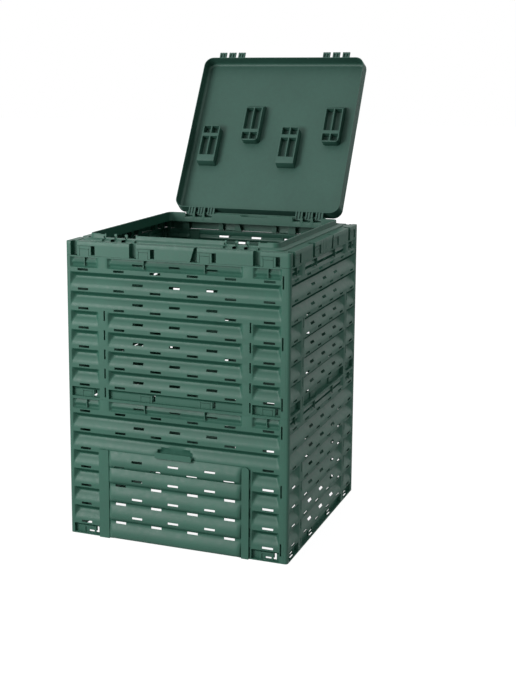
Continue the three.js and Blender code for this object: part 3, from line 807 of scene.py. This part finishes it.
def door_mesh(wall, door):
    """The door: a sheet of ridges with flanges in the rails, and the handle lip on its top."""
    span = wall_cells(wall)[1]
    top = band_centre(wall, DOOR_BANDS) + DOOR_TOP_RISE
    left, right = span[0] - DOOR_FLANGE + DOOR_PLAY, span[1] + DOOR_FLANGE - DOOR_PLAY
    valleys = valley_heights(wall, door)
    boxes = []
    for valley in valleys:
        places = [(step, valley) for step in FOUR_STEPS]
        places += [(step, valley + CREST_SLOT_RISE) for step in THREE_STEPS]
        for step, level in places:
            boxes.append(slot_box(wall, wall.middle + step * wall.slot_pitch, level))
    hard_u, soft_u = [left, right, *steep_pair(*span)], []
    for share in DOOR_LINES:
        soft_u += [span[0] + share * door.end_round, span[1] - share * door.end_round]
    hard_z, soft_z = [DOOR_FOOT, top], []
    for upper in [*valleys, top]:
        soft_z += [level for level in upper - RIDGE_BELOW if level > DOOR_FOOT]
    for u0, u1, z0, z1 in boxes:
        hard_u += [u0, u1]
        hard_z += [level for level in (z0, z1) if DOOR_FOOT < level < top]
    us, zs = merge_lines(hard_u, soft_u), merge_lines(hard_z, soft_z)
    u, z = np.meshgrid(us, zs)
    reach = door_reach(wall, door, u, z, span, top)
    points = np.stack([u, -HALF - reach, z], axis=-1).reshape(-1, 3)
    moulding = Moulding()
    faces = grid_faces(len(zs), len(us), outside_boxes(us, zs, boxes))
    moulding.add_sheet(mesh_from("door_sheet", points, faces), DOOR_SKIN)
    add_handle(moulding, wall, door, top)
    return moulding.finish("door_form")


def add_handle(moulding, wall, door, top):
    """The lip: a shelf out of the door's top and an upright front with rounded corners."""
    x0, x1 = wall.middle - door.handle_width / 2, wall.middle + door.handle_width / 2
    face, back = -HALF - HANDLE_REACH, -HALF - HANDLE_REACH + HANDLE_WALL
    moulding.add_box((x0, x1), (face + MM, -HALF - DOOR_BACK), (top - HANDLE_WALL, top))
    radius = HANDLE_ROUND
    high, low = top + HANDLE_HEIGHT, top - HANDLE_WALL
    outline = [(x0, low), (x1, low)]
    outline += arc((x1 - radius, high - radius), radius, 0, 90, HANDLE_STEPS)
    outline += arc((x0 + radius, high - radius), radius, 90, 180, HANDLE_STEPS)
    moulding.add_prism([(z, x) for x, z in outline], 1, face, back, edge=HANDLE_EDGE)


class COMPOSTBIN_OT_door(bpy.types.Operator):
    """Builds the sliding door"""

    bl_idname = "compostbin.door"
    bl_label = "Sliding Door"

    def execute(self, context):
        settings = context.scene.compost_bin
        finish = settings.finish
        material = moulded_plastic("door_plastic", finish.door, finish.roughness)
        mesh = door_mesh(settings.wall, settings.door)
        place_piece("hatch", mesh, "door", material, ["door"])
        return {"FINISHED"}


# Rim: one skin from the hanging plates over the ledge, bead and channel to the collar

RIM_SKIN = 2.5 * MM
CORNER_START = 296 * MM  # beyond this the inner rows bend into the corner
CORNER_ROOM = 19 * MM  # the same for the outer rows, from the rim's end
WIDE_RADIUS = 12 * MM
LEDGE = 48  # this and the levels below are millimetres above the walls' top
# each row: inset from the outer plane, corner radius, height above the walls' top
RIM_ROWS = [
    (0, 10, 0.4), (0, 10, 2.7), (0, 10, 3.3), (0, 10, 33.7), (0, 10, 34.3), (0, 10, 46.6),
    (0.5, 9.6, 47.6), (1.3, 9, LEDGE), (13, 5, LEDGE), (20.4, 5, LEDGE), (21, 5, LEDGE),
    (29, 5, LEDGE), (29.8, 5, 46.4), (36, 5, 46.0), (38.1, 26, 46.0), (38.9, 25.6, 49.6),
    (48, 24.6, 54.4), (50.8, 24.2, 55.4), (52.3, 24, 52.9), (58.4, 22.6, 52.8), (59.65, 22, 56),
    (59.85, 21.9, 62.0), (59.95, 21.8, 62.6), (60.35, 21.5, 68.7), (61.5, 21, 70),
    (64.05, 17.5, 70), (65.55, 16.2, 68.7), (65.75, 16, 52.6), (65.75, 16, 34.8),
]
RIM_PAD_DEPTH = 0.4 * MM
RIM_PAD_FOOT = 0.5 * MM
RIM_PAD_TOP = 33 * MM
CLIP_TOP_LEVEL, SLIT_FOOT_LEVEL = 34, 3
CLIP_DEPTH = 4.4 * MM
WEDGE_CLIP = 2  # the clip whose recess is a wedge
WEDGE_SLANT = 15 * MM
FINGER_GROOVES = (-69.7 * MM, -42.7 * MM, -11.7 * MM)  # in the plates beside the seam
GROOVE_HALF = 1.2 * MM
FINGER_GROOVE_DEPTH = 3 * MM
SEAM = 0.2 * MM  # half the gap between the two halves
POCKET_PLAY = 15.2 * MM  # half of a knuckle's notch
NOTCH_INSETS = (38.9, 60)  # in millimetres from the outer plane
NOTCH_LEVELS = {FRONT: (48.2, 57), BACK: (53.2, 53.2)}  # of the notches' floors at these insets
SEAT_INSET = 59  # the seats lie further in than this, in millimetres
SEAT_WIDTH = 42 * MM
SEAT_LEVEL = 68
SEAT_RISE = 2.6 * MM  # the front seats' height above the collar between them
SEAT_END, SEAT_FADE = 314 * MM, 16 * MM  # where the collar is back at the seats' height
HOLE_PLACE = 20 * MM  # of the hole beside each front knuckle
HOLE_WIDTH, HOLE_DEPTH = 8 * MM, 63.2 * MM
HOLE_LEVELS = (55, 62.3)
RECESS_MIDDLE = -14 * MM  # of the finger recess
RECESS_SLANT = 10 * MM
RECESS_LEVEL = 60
RECESS_HEIGHTS = (63 * MM, 80 * MM)  # its floor, and a height above all of the rim
CORNER_STEP, CORNER_LINES = 8 * MM, 13
OUTER_LINES = (0.3, 0.55, 0.7, 0.85)  # shares of CORNER_ROOM
JOIN = 0.03 * MM  # points of neighbouring sides closer than this are one
CRADLE_WALL = 8 * MM
CRADLE_INSETS = (46.1 * MM, 30.2 * MM)
CRADLE_FOOT, BED_TOP = 45 * MM, 54 * MM
CRADLE_TOPS = {FRONT: 54 * MM, BACK: 61 * MM}
STOP_RAIL, STOP_REACH, STOP_TOP = (23.2 * MM, 26.2 * MM), 284 * MM, 69.8 * MM


def knuckle_places(wall, lid, side):
    """Middles of the knuckles along X; the back ones are the front ones turned half round."""
    middle = wall.middle if side == FRONT else -wall.middle
    groups = [middle - wall.clip_pitch, middle + wall.clip_pitch]
    return [group + step * lid.knuckle_pitch for group in groups for step in THREE_STEPS]


def rim_lines(wall, lid, rim, side):
    """Grid lines along one side of the rim."""
    hard = [-HALF, HALF]
    for u in clip_places(wall):
        hard += steep_pair(u + rim.recess_left, u + rim.clip_left)
        hard += steep_pair(u + rim.clip_right, u + rim.slit_right)
    if side in (RIGHT, LEFT):
        hard += [-SEAM, SEAM]
        for groove in FINGER_GROOVES:
            hard += steep_pair(groove - GROOVE_HALF, groove + GROOVE_HALF)
    if side == FRONT:
        for x in knuckle_places(wall, lid, side):
            spans = ((x, POCKET_PLAY), (x, SEAT_WIDTH / 2), (x - HOLE_PLACE, HOLE_WIDTH / 2))
            for middle, reach in spans:
                hard += steep_pair(middle - reach, middle + reach)
    if side == BACK:
        for x in knuckle_places(wall, lid, side):
            hard += steep_pair(-x - POCKET_PLAY, -x + POCKET_PLAY)
        for slant in (0, RECESS_SLANT):
            reach = rim.finger_width / 2 - slant
            hard += [RECESS_MIDDLE - reach, RECESS_MIDDLE + reach]
    soft = []
    for sign in (-1, 1):
        soft += [sign * (CORNER_START + step * CORNER_STEP) for step in range(CORNER_LINES)]
        soft += [sign * (HALF - CORNER_ROOM * (1 - share)) for share in OUTER_LINES]
    return merge_lines(hard, soft)


def rim_points(us, inset, radius):
    """Places of one row along a side: straight, then half of the rounded corner."""
    half = HALF - inset
    start = CORNER_START if radius > WIDE_RADIUS else min(HALF - CORNER_ROOM, half - radius - MM)
    share = np.clip((np.abs(us) - start) / (HALF - start), 0, 1)
    straight = half - radius - start
    travelled = share * (straight + radius * math.pi / 4)
    turn = np.clip(travelled - straight, 0, None) / radius
    reach = start + np.minimum(travelled, straight) + radius * np.sin(turn)
    back = radius * (1 - np.cos(turn))
    return np.where(np.abs(us) > start, np.sign(us) * reach, us), back


def plate_depth(wall, rim, us, height, depth):
    """Depth with the recesses, clips and slits between the hanging plates."""
    for clip in clip_places(wall):
        left, right = clip + rim.clip_left, clip + rim.clip_right
        recess = (us > clip + rim.recess_left) & (us < left)
        depth = np.where(recess, np.maximum(depth, rim.recess_depth), depth)
        if height < CLIP_TOP_LEVEL:
            inside = (us > left) & (us < right)
            depth = np.where(inside, np.maximum(depth, CLIP_DEPTH), depth)
        if SLIT_FOOT_LEVEL < height < CLIP_TOP_LEVEL:
            slit = (us > right) & (us < clip + rim.slit_right)
            depth = np.where(slit, np.maximum(depth, rim.recess_depth), depth)
    return depth


def wedge_edge(wall, rim, us, u, height):
    """Moves the start of one recess with the height, which makes it a wedge."""
    near = np.abs(us - clip_places(wall)[WEDGE_CLIP] - rim.recess_left) < 2 * STEEP
    return np.where(near, u + WEDGE_SLANT * min(height, LEDGE) / LEDGE, u)


def front_seats(us, knuckles, height, depth, z):
    """Depth and height with the seats of the front knuckles and the holes beside them."""
    seat = np.zeros(len(us), bool)
    for x in knuckles:
        seat |= np.abs(us - x) < SEAT_WIDTH / 2
        if HOLE_LEVELS[0] < height < HOLE_LEVELS[1]:
            hole = np.abs(us - x + HOLE_PLACE) < HOLE_WIDTH / 2
            depth = np.where(hole, np.maximum(depth, HOLE_DEPTH), depth)
    if height > SEAT_LEVEL:
        drop = SEAT_RISE * np.clip((SEAT_END - np.abs(us)) / SEAT_FADE, 0, 1)
        z = np.where(seat, z, z - drop)
    return depth, z


def notched(us, places, inset, floors, z):
    """Height with the notches that let the knuckles through the collar."""
    floor = np.interp(inset, NOTCH_INSETS, floors) * MM
    for place in places:
        z = np.where(np.abs(us - place) < POCKET_PLAY, np.minimum(z, floor), z)
    return z


def rim_side(wall, lid, rim, side):
    """Points of one side's skin, row by row, built as the front side, and the cells to keep."""
    us = rim_lines(wall, lid, rim, side)
    knuckles = [x if side == FRONT else -x for x in knuckle_places(wall, lid, side)]
    rows = []
    for inset, radius, height in RIM_ROWS:
        u, corner = rim_points(us, inset * MM, radius * MM)
        u = wedge_edge(wall, rim, us, u, height)
        depth = plate_depth(wall, rim, us, height, np.full_like(us, inset * MM))
        z = np.full_like(us, height * MM)
        if side in (RIGHT, LEFT) and height < LEDGE:
            for groove in FINGER_GROOVES:
                inside = np.abs(us - groove) < GROOVE_HALF
                depth = np.where(inside, np.maximum(depth, FINGER_GROOVE_DEPTH), depth)
        if side == FRONT and inset > SEAT_INSET:
            depth, z = front_seats(us, knuckles, height, depth, z)
        if side in NOTCH_LEVELS and inset >= NOTCH_INSETS[0]:
            z = notched(us, knuckles, inset, NOTCH_LEVELS[side], z)
        if side == BACK and height > RECESS_LEVEL:
            reach = rim.finger_width / 2
            slant = [reach - RECESS_SLANT, reach]
            z = np.minimum(z, np.interp(np.abs(us - RECESS_MIDDLE), slant, RECESS_HEIGHTS))
        rows.append(np.stack([u, depth + corner - HALF, z + RIM_FOOT], axis=-1))
    keep = np.ones((len(RIM_ROWS) - 1, len(us) - 1), bool)
    if side in (RIGHT, LEFT):
        keep[:, np.abs(middles(us)) < SEAM] = False
    return us, np.array(rows), keep


def rim_half_mesh(name, wall, lid, rim, front):
    """One half of the rim: one long side and half of each neighbour, joined at the corners."""
    moulding = Moulding()
    skin = bmesh.new()
    for side in (FRONT if front else BACK, RIGHT, LEFT):
        us, rows, keep = rim_side(wall, lid, rim, side)
        if side in (RIGHT, LEFT):
            forward = middles(us) < 0 if side == RIGHT else middles(us) > 0
            keep &= forward[None, :] if front else ~forward[None, :]
        mesh = mesh_from("rim_side", rows.reshape(-1, 3), grid_faces(len(rows), len(us), keep))
        mesh.transform(side_turn(side))
        skin.from_mesh(mesh)
        bpy.data.meshes.remove(mesh)
    bmesh.ops.remove_doubles(skin, verts=skin.verts, dist=JOIN)
    bmesh.ops.dissolve_degenerate(skin, edges=skin.edges, dist=JOIN)
    loose = [point for point in skin.verts if not point.link_faces]
    bmesh.ops.delete(skin, geom=loose, context="VERTS")
    bmesh.ops.recalc_face_normals(skin, faces=skin.faces)
    mesh = bpy.data.meshes.new("rim_skin")
    skin.to_mesh(mesh)
    skin.free()
    highest = max(mesh.polygons, key=lambda face: face.center.z)
    if highest.normal.z < 0:
        mesh.flip_normals()
    moulding.add_sheet(mesh, RIM_SKIN)
    add_rim_pads(moulding, wall, front)
    add_cradles(moulding, wall, lid, front)
    return moulding.finish(name)


def add_rim_pads(moulding, wall, front):
    """The pads between the hanging plates, on every side of one half."""
    top = RIM_FOOT + RIM_PAD_TOP
    foot, lintel = RIM_FOOT + RIM_PAD_FOOT, RIM_FOOT + TONGUE_TOP + TONGUE_SLIT
    for side in (FRONT, RIGHT, BACK, LEFT):
        turn = side_turn(side)
        places = [u for u in clip_places(wall) if ((turn @ Vector((u, -HALF, 0))).y < 0) == front]
        add_pads(moulding, places, RIM_PAD_DEPTH, foot, lintel, top, turn)


def add_cradles(moulding, wall, lid, front):
    """Cheeks between the knuckles; behind also their bed and the rail that stops the open lid."""
    side = FRONT if front else BACK
    gap, thickness = lid.knuckle_pitch / 2, CRADLE_WALL
    near, far = (HALF - inset for inset in CRADLE_INSETS)
    span = (-far, -near) if front else (near, far)
    foot, top = RIM_FOOT + CRADLE_FOOT, RIM_FOOT + CRADLE_TOPS[side]
    for x in knuckle_places(wall, lid, side):
        for middle in (x - gap, x + gap):
            moulding.add_box((middle - thickness / 2, middle + thickness / 2), span, (foot, top))
        if not front:
            moulding.add_box((x - gap, x + gap), span, (foot, RIM_FOOT + BED_TOP))
    if not front:
        rail = (HALF - STOP_RAIL[1], HALF - STOP_RAIL[0])
        moulding.add_box((-STOP_REACH, STOP_REACH), rail, (foot, RIM_FOOT + STOP_TOP))


class COMPOSTBIN_OT_rim(bpy.types.Operator):
    """Builds the two halves of the rim"""

    bl_idname = "compostbin.rim"
    bl_label = "Rim"

    def execute(self, context):
        settings = context.scene.compost_bin
        wall, lid, rim, finish = settings.wall, settings.lid, settings.rim, settings.finish
        material = moulded_plastic("rim_plastic", finish.rim, finish.roughness)
        for front, name in ((True, "front"), (False, "back")):
            mesh = rim_half_mesh(f"rim_{name}_form", wall, lid, rim, front)
            place_piece(f"rim_{name}", mesh, "bin", material, [f"rim_{name}_half"])
        return {"FINISHED"}


# Lid, built shut and then turned to its open stop

LID_HALF = 333.1 * MM  # at the foot of its wall
LID_FLARE = 2.9 * MM  # the flat top is wider than the foot by this on each side
LID_ROUND = 14 * MM
LID_FOOT = 1043.3 * MM
LID_TOP = 1100.8 * MM
LID_STEPS = 9  # in each rounded corner
LID_BEND = 15  # degrees of the rounded edge from row to row
BARREL_RADIUS = 4.6 * MM
BARREL_ARC = (-115, 62)  # where a fin follows the barrel, in degrees
BARREL_CORE = (0.4 * MM, 330, 11)  # how much thinner the barrel is than the fins, its arc and steps
FIN_WIDTH = 5 * MM
FIN_STEP = 11.5 * MM
ARM_HEIGHT = 7 * MM
ROOF_WALL = 2 * MM
ROOF_RISE, ROOF_AT_LID = 2 * MM, 4.8 * MM  # of the roof's foot, above the barrel and at the lid
KNUCKLE_FOOT = LID_FOOT + 0.3 * MM
SHORTER = 7.5 * MM  # how much less the front knuckles reach out
HIGHER, LIFT = 4.6 * MM, 2 * MM  # how much higher their foot and their barrel lie


def opened():
    """The turn that takes the shut lid to its open stop."""
    there, back = Matrix.Translation(HINGE_POINT), Matrix.Translation(-HINGE_POINT)
    return there @ Matrix.Rotation(-LID_OPEN, 4, "X") @ back


def rounded_square(half, radius, steps):
    """Points of a square with rounded corners."""
    inner = half - radius
    points = []
    for number, (x, y) in enumerate(((1, 1), (-1, 1), (-1, -1), (1, -1))):
        start = 90 * number
        points += arc((x * inner, y * inner), radius, start, start + 90, steps)
    return points


def lid_pan(lid):
    """The pan's outer skin: a wall with rounded corners, a rounded edge and the flat top."""
    rows = [(LID_HALF, lid.radius, LID_FOOT)]
    for degrees in range(0, 91, LID_BEND):
        inset = LID_ROUND * (1 - math.cos(math.radians(degrees)))
        drop = LID_ROUND * (1 - math.sin(math.radians(degrees)))
        rows.append((LID_HALF + LID_FLARE - inset, lid.radius - inset, LID_TOP - drop))
    points = []
    for half, radius, z in rows:
        points += [(x, y, z) for x, y in rounded_square(half, radius, LID_STEPS)]
    count = 4 * (LID_STEPS + 1)
    last = (len(rows) - 1) * count
    faces = []
    for first in range(0, last, count):
        for place in range(count):
            here, after = first + place, first + (place + 1) % count
            faces.append((here, after, after + count, here + count))
    faces.append(range(last, last + count))
    return mesh_from("lid_pan", points, faces)


def knuckle_outline(y, z, foot):
    """Side view of a knuckle's fin: the barrel about (y, z) and the arm to the lid's wall."""
    wall_y = LID_HALF - MM
    barrel = arc((y, z), BARREL_RADIUS, *BARREL_ARC, LID_STEPS)
    return [(wall_y, foot), *barrel, (wall_y, foot + ARM_HEIGHT)]


def add_knuckle(moulding, x, front):
    """Three fins with the barrel between them and a roof over them."""
    turn = Matrix.Scale(-1, 4, (0, 1, 0)) if front else None
    y, z, foot = HINGE_POINT.y, HINGE_POINT.z, KNUCKLE_FOOT
    if front:
        y, z, foot = y - SHORTER, z + LIFT, foot + HIGHER
    low, high = x - FIN_STEP, x + FIN_STEP
    for place in (low, x, high):
        ends = (place - FIN_WIDTH / 2, place + FIN_WIDTH / 2)
        moulding.add_prism(knuckle_outline(y, z, foot), 0, *ends, edge=FINE_EDGE, turn=turn)
    thinner, end, steps = BARREL_CORE
    core = arc((y, z), BARREL_RADIUS - thinner, 0, end, steps)
    wall_y = LID_HALF - MM
    at_lid, at_barrel = foot + ROOF_AT_LID, z + ROOF_RISE
    roof = [(wall_y, at_lid), (y - MM, at_barrel), (y - MM, at_barrel + ROOF_WALL),
            (wall_y, at_lid + ROOF_WALL)]
    for outline in (core, roof):
        moulding.add_prism(outline, 0, low, high, edge=0.0, turn=turn)


def lid_mesh(wall, lid):
    """The whole lid, built shut and turned to its open stop."""
    moulding = Moulding()
    moulding.add_sheet(lid_pan(lid), lid.wall)
    for side in (BACK, FRONT):
        for x in knuckle_places(wall, lid, side):
            add_knuckle(moulding, x, side == FRONT)
    mesh = moulding.finish("lid_form")
    mesh.transform(opened())
    return mesh


class COMPOSTBIN_OT_lid(bpy.types.Operator):
    """Builds the hinged lid"""

    bl_idname = "compostbin.lid"
    bl_label = "Lid"

    def execute(self, context):
        settings = context.scene.compost_bin
        finish = settings.finish
        # the lid's colour carries a painted sheen: lighter and greyer than the walls' same plastic
        material = moulded_plastic("lid_plastic_painted_sheen", finish.lid, finish.roughness)
        mesh = lid_mesh(settings.wall, settings.lid)
        place_piece("hinged_lid", mesh, "lid", material, ["lid"])
        return {"FINISHED"}


# Ribbed blocks under the lid, drawn about their own middle with the round end at low y

BLOCK_WIDTH, BLOCK_LENGTH = 72 * MM, 164 * MM
BLOCK_FOOT, BLOCK_ROOF = 1062.2 * MM, 1097.4 * MM
BLOCK_BAR = 14 * MM  # between the short and the long cells
BLOCK_SHORT_CELL = 30 * MM
BLOCK_TIP = 20 * MM
BLOCK_OFFSET = 50.7 * MM  # of every other block to the back, and of the others to the front
BLOCK_SHIFT = (-5 * MM, -4.7 * MM)  # of the whole row, along X and Y
BLOCK_ROUND = 14 * MM
BLOCK_ROUND_STEPS = 6
BLOCK_BLUNT_TIP = BLOCK_TIP / 4
BLOCK_TIP_WALL = 2 * MM
CELL_CUT = 5 * MM  # how far below the block a cell's cut starts
BLOCK_SOFTENING = {"width": 0.9 * MM, "segments": 2, "limit_method": "ANGLE", "angle_limit": SHARP}


def block_mesh(lid, tapered):
    """One ribbed block, shut, about its own middle; its far end tapers or ends in a broad bar."""
    wall, radius, steps = lid.block_wall, BLOCK_ROUND, BLOCK_ROUND_STEPS
    x1, y0, y1 = BLOCK_WIDTH / 2, -BLOCK_LENGTH / 2, BLOCK_LENGTH / 2
    outline = [*arc((-x1 + radius, y0 + radius), radius, 180, 270, steps),
               *arc((x1 - radius, y0 + radius), radius, 270, 360, steps), (x1, y1), (-x1, y1)]
    body = prism_mesh(outline, 2, BLOCK_FOOT, BLOCK_ROOF)
    start = y1 - (BLOCK_TIP if tapered else BLOCK_BLUNT_TIP)
    tip = [(start, BLOCK_FOOT - MM), (y1 + MM, BLOCK_FOOT - MM), (y1 + MM, BLOCK_ROOF - wall),
           (start, BLOCK_FOOT)]
    body = cut_mesh(body, prism_mesh(tip, 0, -x1 - MM, x1 + MM))
    short = (y0 + wall, y0 + wall + BLOCK_SHORT_CELL)
    long = (short[1] + BLOCK_BAR, start - (BLOCK_TIP_WALL if tapered else 2 * BLOCK_BAR))
    for near, far in (short, long):
        for sign in (-1, 1):
            inner, outer = sign * wall / 2, sign * (x1 - wall)
            cell = [(inner, near), (outer, near), (outer, far), (inner, far)]
            body = cut_mesh(body, prism_mesh(cell, 2, BLOCK_FOOT - CELL_CUT, BLOCK_ROOF - wall))
    moulding = Moulding()
    moulding.add_mesh(modified(body, "BEVEL", BLOCK_SOFTENING))
    return moulding.finish("lid_block_form")


class COMPOSTBIN_OT_blocks(bpy.types.Operator):
    """Builds the four ribbed blocks under the lid"""

    bl_idname = "compostbin.blocks"
    bl_label = "Lid Blocks"

    def execute(self, context):
        settings = context.scene.compost_bin
        lid, finish = settings.lid, settings.finish
        material = moulded_plastic("lid_plastic_painted_sheen", finish.lid, finish.roughness)
        for number, step in enumerate(FOUR_STEPS, start=1):
            turned = number % 2 == 0
            mesh = block_mesh(lid, turned)
            x = step * lid.block_pitch + BLOCK_SHIFT[0]
            y = (-BLOCK_OFFSET if turned else BLOCK_OFFSET) + BLOCK_SHIFT[1]
            shift = Matrix.Translation((x, y, 0))
            mesh.transform(opened() @ shift @ side_turn(BACK if turned else FRONT))
            nodes = [f"lid_block_{number}"]
            place_piece(f"lid_rib_block_{number}", mesh, "lid", material, nodes)
        return {"FINISHED"}


# Stage: camera, white floor and soft light

CAMERA_PLACE = (1.5990, -4.0972, 1.6193)
CAMERA_TURN = (math.radians(90 - 10.06), 0.0, math.radians(21.92))
CAMERA_LENS = 65.02
CAMERA_SHIFT = (0.0759, -0.0831)
SENSOR_WIDTH = 36.0
WHITE = (1.0, 1.0, 1.0, 1.0)
FLOOR_REACH = 30.0
FLOOR_ROUGHNESS = 0.9
FLOOR_GLOW = 0.95
SKY_FROM = (-0.1, 0.9)  # the soft light changes between these heights of a direction
BIN_MIDDLE = (0.0, 0.0, 0.6)
KEY_PLACE, KEY_SIZE = (-1.7, -3.1, 1.75), 1.6
FILL_PLACE, FILL_SIZE = (4.2, -1.0, 2.2), 2.0


def plain_floor(colour):
    """White where the camera, glass or gloss sees it, and shaded by the bin."""
    material = bpy.data.materials.new("floor_white")
    material.use_nodes = True
    tree = material.node_tree
    shader = tree.nodes["Principled BSDF"]
    shader.inputs["Base Color"].default_value = [*colour, 1.0]
    shader.inputs["Roughness"].default_value = FLOOR_ROUGHNESS
    glow = add_node(tree, "ShaderNodeEmission", {"Color": WHITE})
    strength = add_maths(tree, "MULTIPLY", seen_directly(tree), FLOOR_GLOW)
    tree.links.new(strength, glow.inputs["Strength"])
    both = add_node(tree, "ShaderNodeAddShader")
    tree.links.new(shader.outputs["BSDF"], both.inputs[0])
    tree.links.new(glow.outputs["Emission"], both.inputs[1])
    tree.links.new(both.outputs["Shader"], tree.nodes["Material Output"].inputs["Surface"])
    return material


def seen_directly(tree):
    """1 for camera, glossy and transmission rays, and 0 for the others."""
    path = add_node(tree, "ShaderNodeLightPath").outputs
    seen = add_maths(tree, "MAXIMUM", path["Is Camera Ray"], path["Is Glossy Ray"])
    return add_maths(tree, "MAXIMUM", seen, path["Is Transmission Ray"])


def white_world(haze, sky):
    """A white world to the eye, and otherwise a soft light that is stronger from above."""
    world = bpy.data.worlds.new("studio")
    bpy.context.scene.world = world
    world.use_nodes = True
    tree = world.node_tree
    background = tree.nodes["Background"]
    background.inputs["Color"].default_value = WHITE
    place = add_node(tree, "ShaderNodeTexCoord")
    parts = add_node(tree, "ShaderNodeSeparateXYZ")
    tree.links.new(place.outputs["Generated"], parts.inputs["Vector"])
    soft = add_range(tree, parts.outputs["Z"], SKY_FROM, (haze, sky), "SMOOTHSTEP")
    choice = add_node(tree, "ShaderNodeMix", {"B": 1.0}, data_type="FLOAT")
    tree.links.new(seen_directly(tree), choice.inputs["Factor"])
    tree.links.new(soft, choice.inputs["A"])
    tree.links.new(choice.outputs["Result"], background.inputs["Strength"])


def soft_lamp(name, place, size, watts):
    """A square area lamp that looks at the bin."""
    data = bpy.data.lights.new(name, "AREA")
    data.shape = "SQUARE"
    data.size = size
    data.energy = watts
    lamp = linked_object(name, data)
    lamp.location = place
    direction = Vector(BIN_MIDDLE) - Vector(place)
    lamp.rotation_euler = direction.to_track_quat("-Z", "Y").to_euler()
    return lamp


class COMPOSTBIN_OT_stage(bpy.types.Operator):
    """Sets up the camera, the white floor and the soft light"""

    bl_idname = "compostbin.stage"
    bl_label = "Stage"

    def execute(self, context):
        stage = context.scene.compost_bin.stage
        data = bpy.data.cameras.new("camera")
        data.lens = CAMERA_LENS
        data.sensor_width = SENSOR_WIDTH
        data.shift_x, data.shift_y = CAMERA_SHIFT
        camera = linked_object("camera", data)
        camera.location = CAMERA_PLACE
        camera.rotation_euler = CAMERA_TURN
        context.scene.camera = camera
        ends = ((-1, -1), (1, -1), (1, 1), (-1, 1))
        corners = [(x * FLOOR_REACH, y * FLOOR_REACH, 0) for x, y in ends]
        floor = linked_object("floor", mesh_from("floor", corners, [(0, 1, 2, 3)]))
        floor.data.materials.append(plain_floor(stage.floor_colour))
        white_world(stage.haze, stage.sky)
        soft_lamp("key", KEY_PLACE, KEY_SIZE, stage.key_power)
        soft_lamp("fill", FILL_PLACE, FILL_SIZE, stage.fill_power)
        context.scene.view_settings.view_transform = "Standard"
        return {"FINISHED"}


class CompostBinSettings(bpy.types.PropertyGroup):
    """All settings of the compost bin."""

    wall: PointerProperty(type=WallSettings)
    door: PointerProperty(type=DoorSettings)
    rim: PointerProperty(type=RimSettings)
    lid: PointerProperty(type=LidSettings)
    finish: PointerProperty(type=FinishSettings)
    stage: PointerProperty(type=StageSettings)


OPERATORS = (
    COMPOSTBIN_OT_walls, COMPOSTBIN_OT_door, COMPOSTBIN_OT_rim, COMPOSTBIN_OT_lid,
    COMPOSTBIN_OT_blocks, COMPOSTBIN_OT_stage,
)


class COMPOSTBIN_PT_sidebar(bpy.types.Panel):
    """Lists the builders and their settings."""

    bl_idname = "COMPOSTBIN_PT_sidebar"
    bl_label = "Compost Bin"
    bl_space_type = "VIEW_3D"
    bl_region_type = "UI"
    bl_category = "Compost Bin"

    def draw(self, context):
        layout = self.layout
        for operator in OPERATORS:
            layout.operator(operator.bl_idname)
        settings = context.scene.compost_bin
        for group_name in settings.bl_rna.properties.keys():
            group = getattr(settings, group_name)
            if isinstance(group, bpy.types.PropertyGroup):
                box = layout.box()
                box.label(text=group_name.title())
                for value_name in group.bl_rna.properties.keys():
                    if value_name not in ("rna_type", "name"):
                        box.prop(group, value_name)


CLASSES = (
    WallSettings, DoorSettings, RimSettings, LidSettings, FinishSettings, StageSettings,
    CompostBinSettings, *OPERATORS, COMPOSTBIN_PT_sidebar,
)


def register():
    """Makes the classes known and hangs the settings on the scene."""
    for item in CLASSES:
        bpy.utils.register_class(item)
    bpy.types.Scene.compost_bin = PointerProperty(type=CompostBinSettings)


def unregister():
    """Takes away what register made."""
    del bpy.types.Scene.compost_bin
    for item in reversed(CLASSES):
        bpy.utils.unregister_class(item)


def main():
    """Builds every piece and the stage."""
    register()
    bpy.ops.compostbin.walls()
    bpy.ops.compostbin.door()
    bpy.ops.compostbin.rim()
    bpy.ops.compostbin.lid()
    bpy.ops.compostbin.blocks()
    bpy.ops.compostbin.stage()


if __name__ == "__main__":
    main()
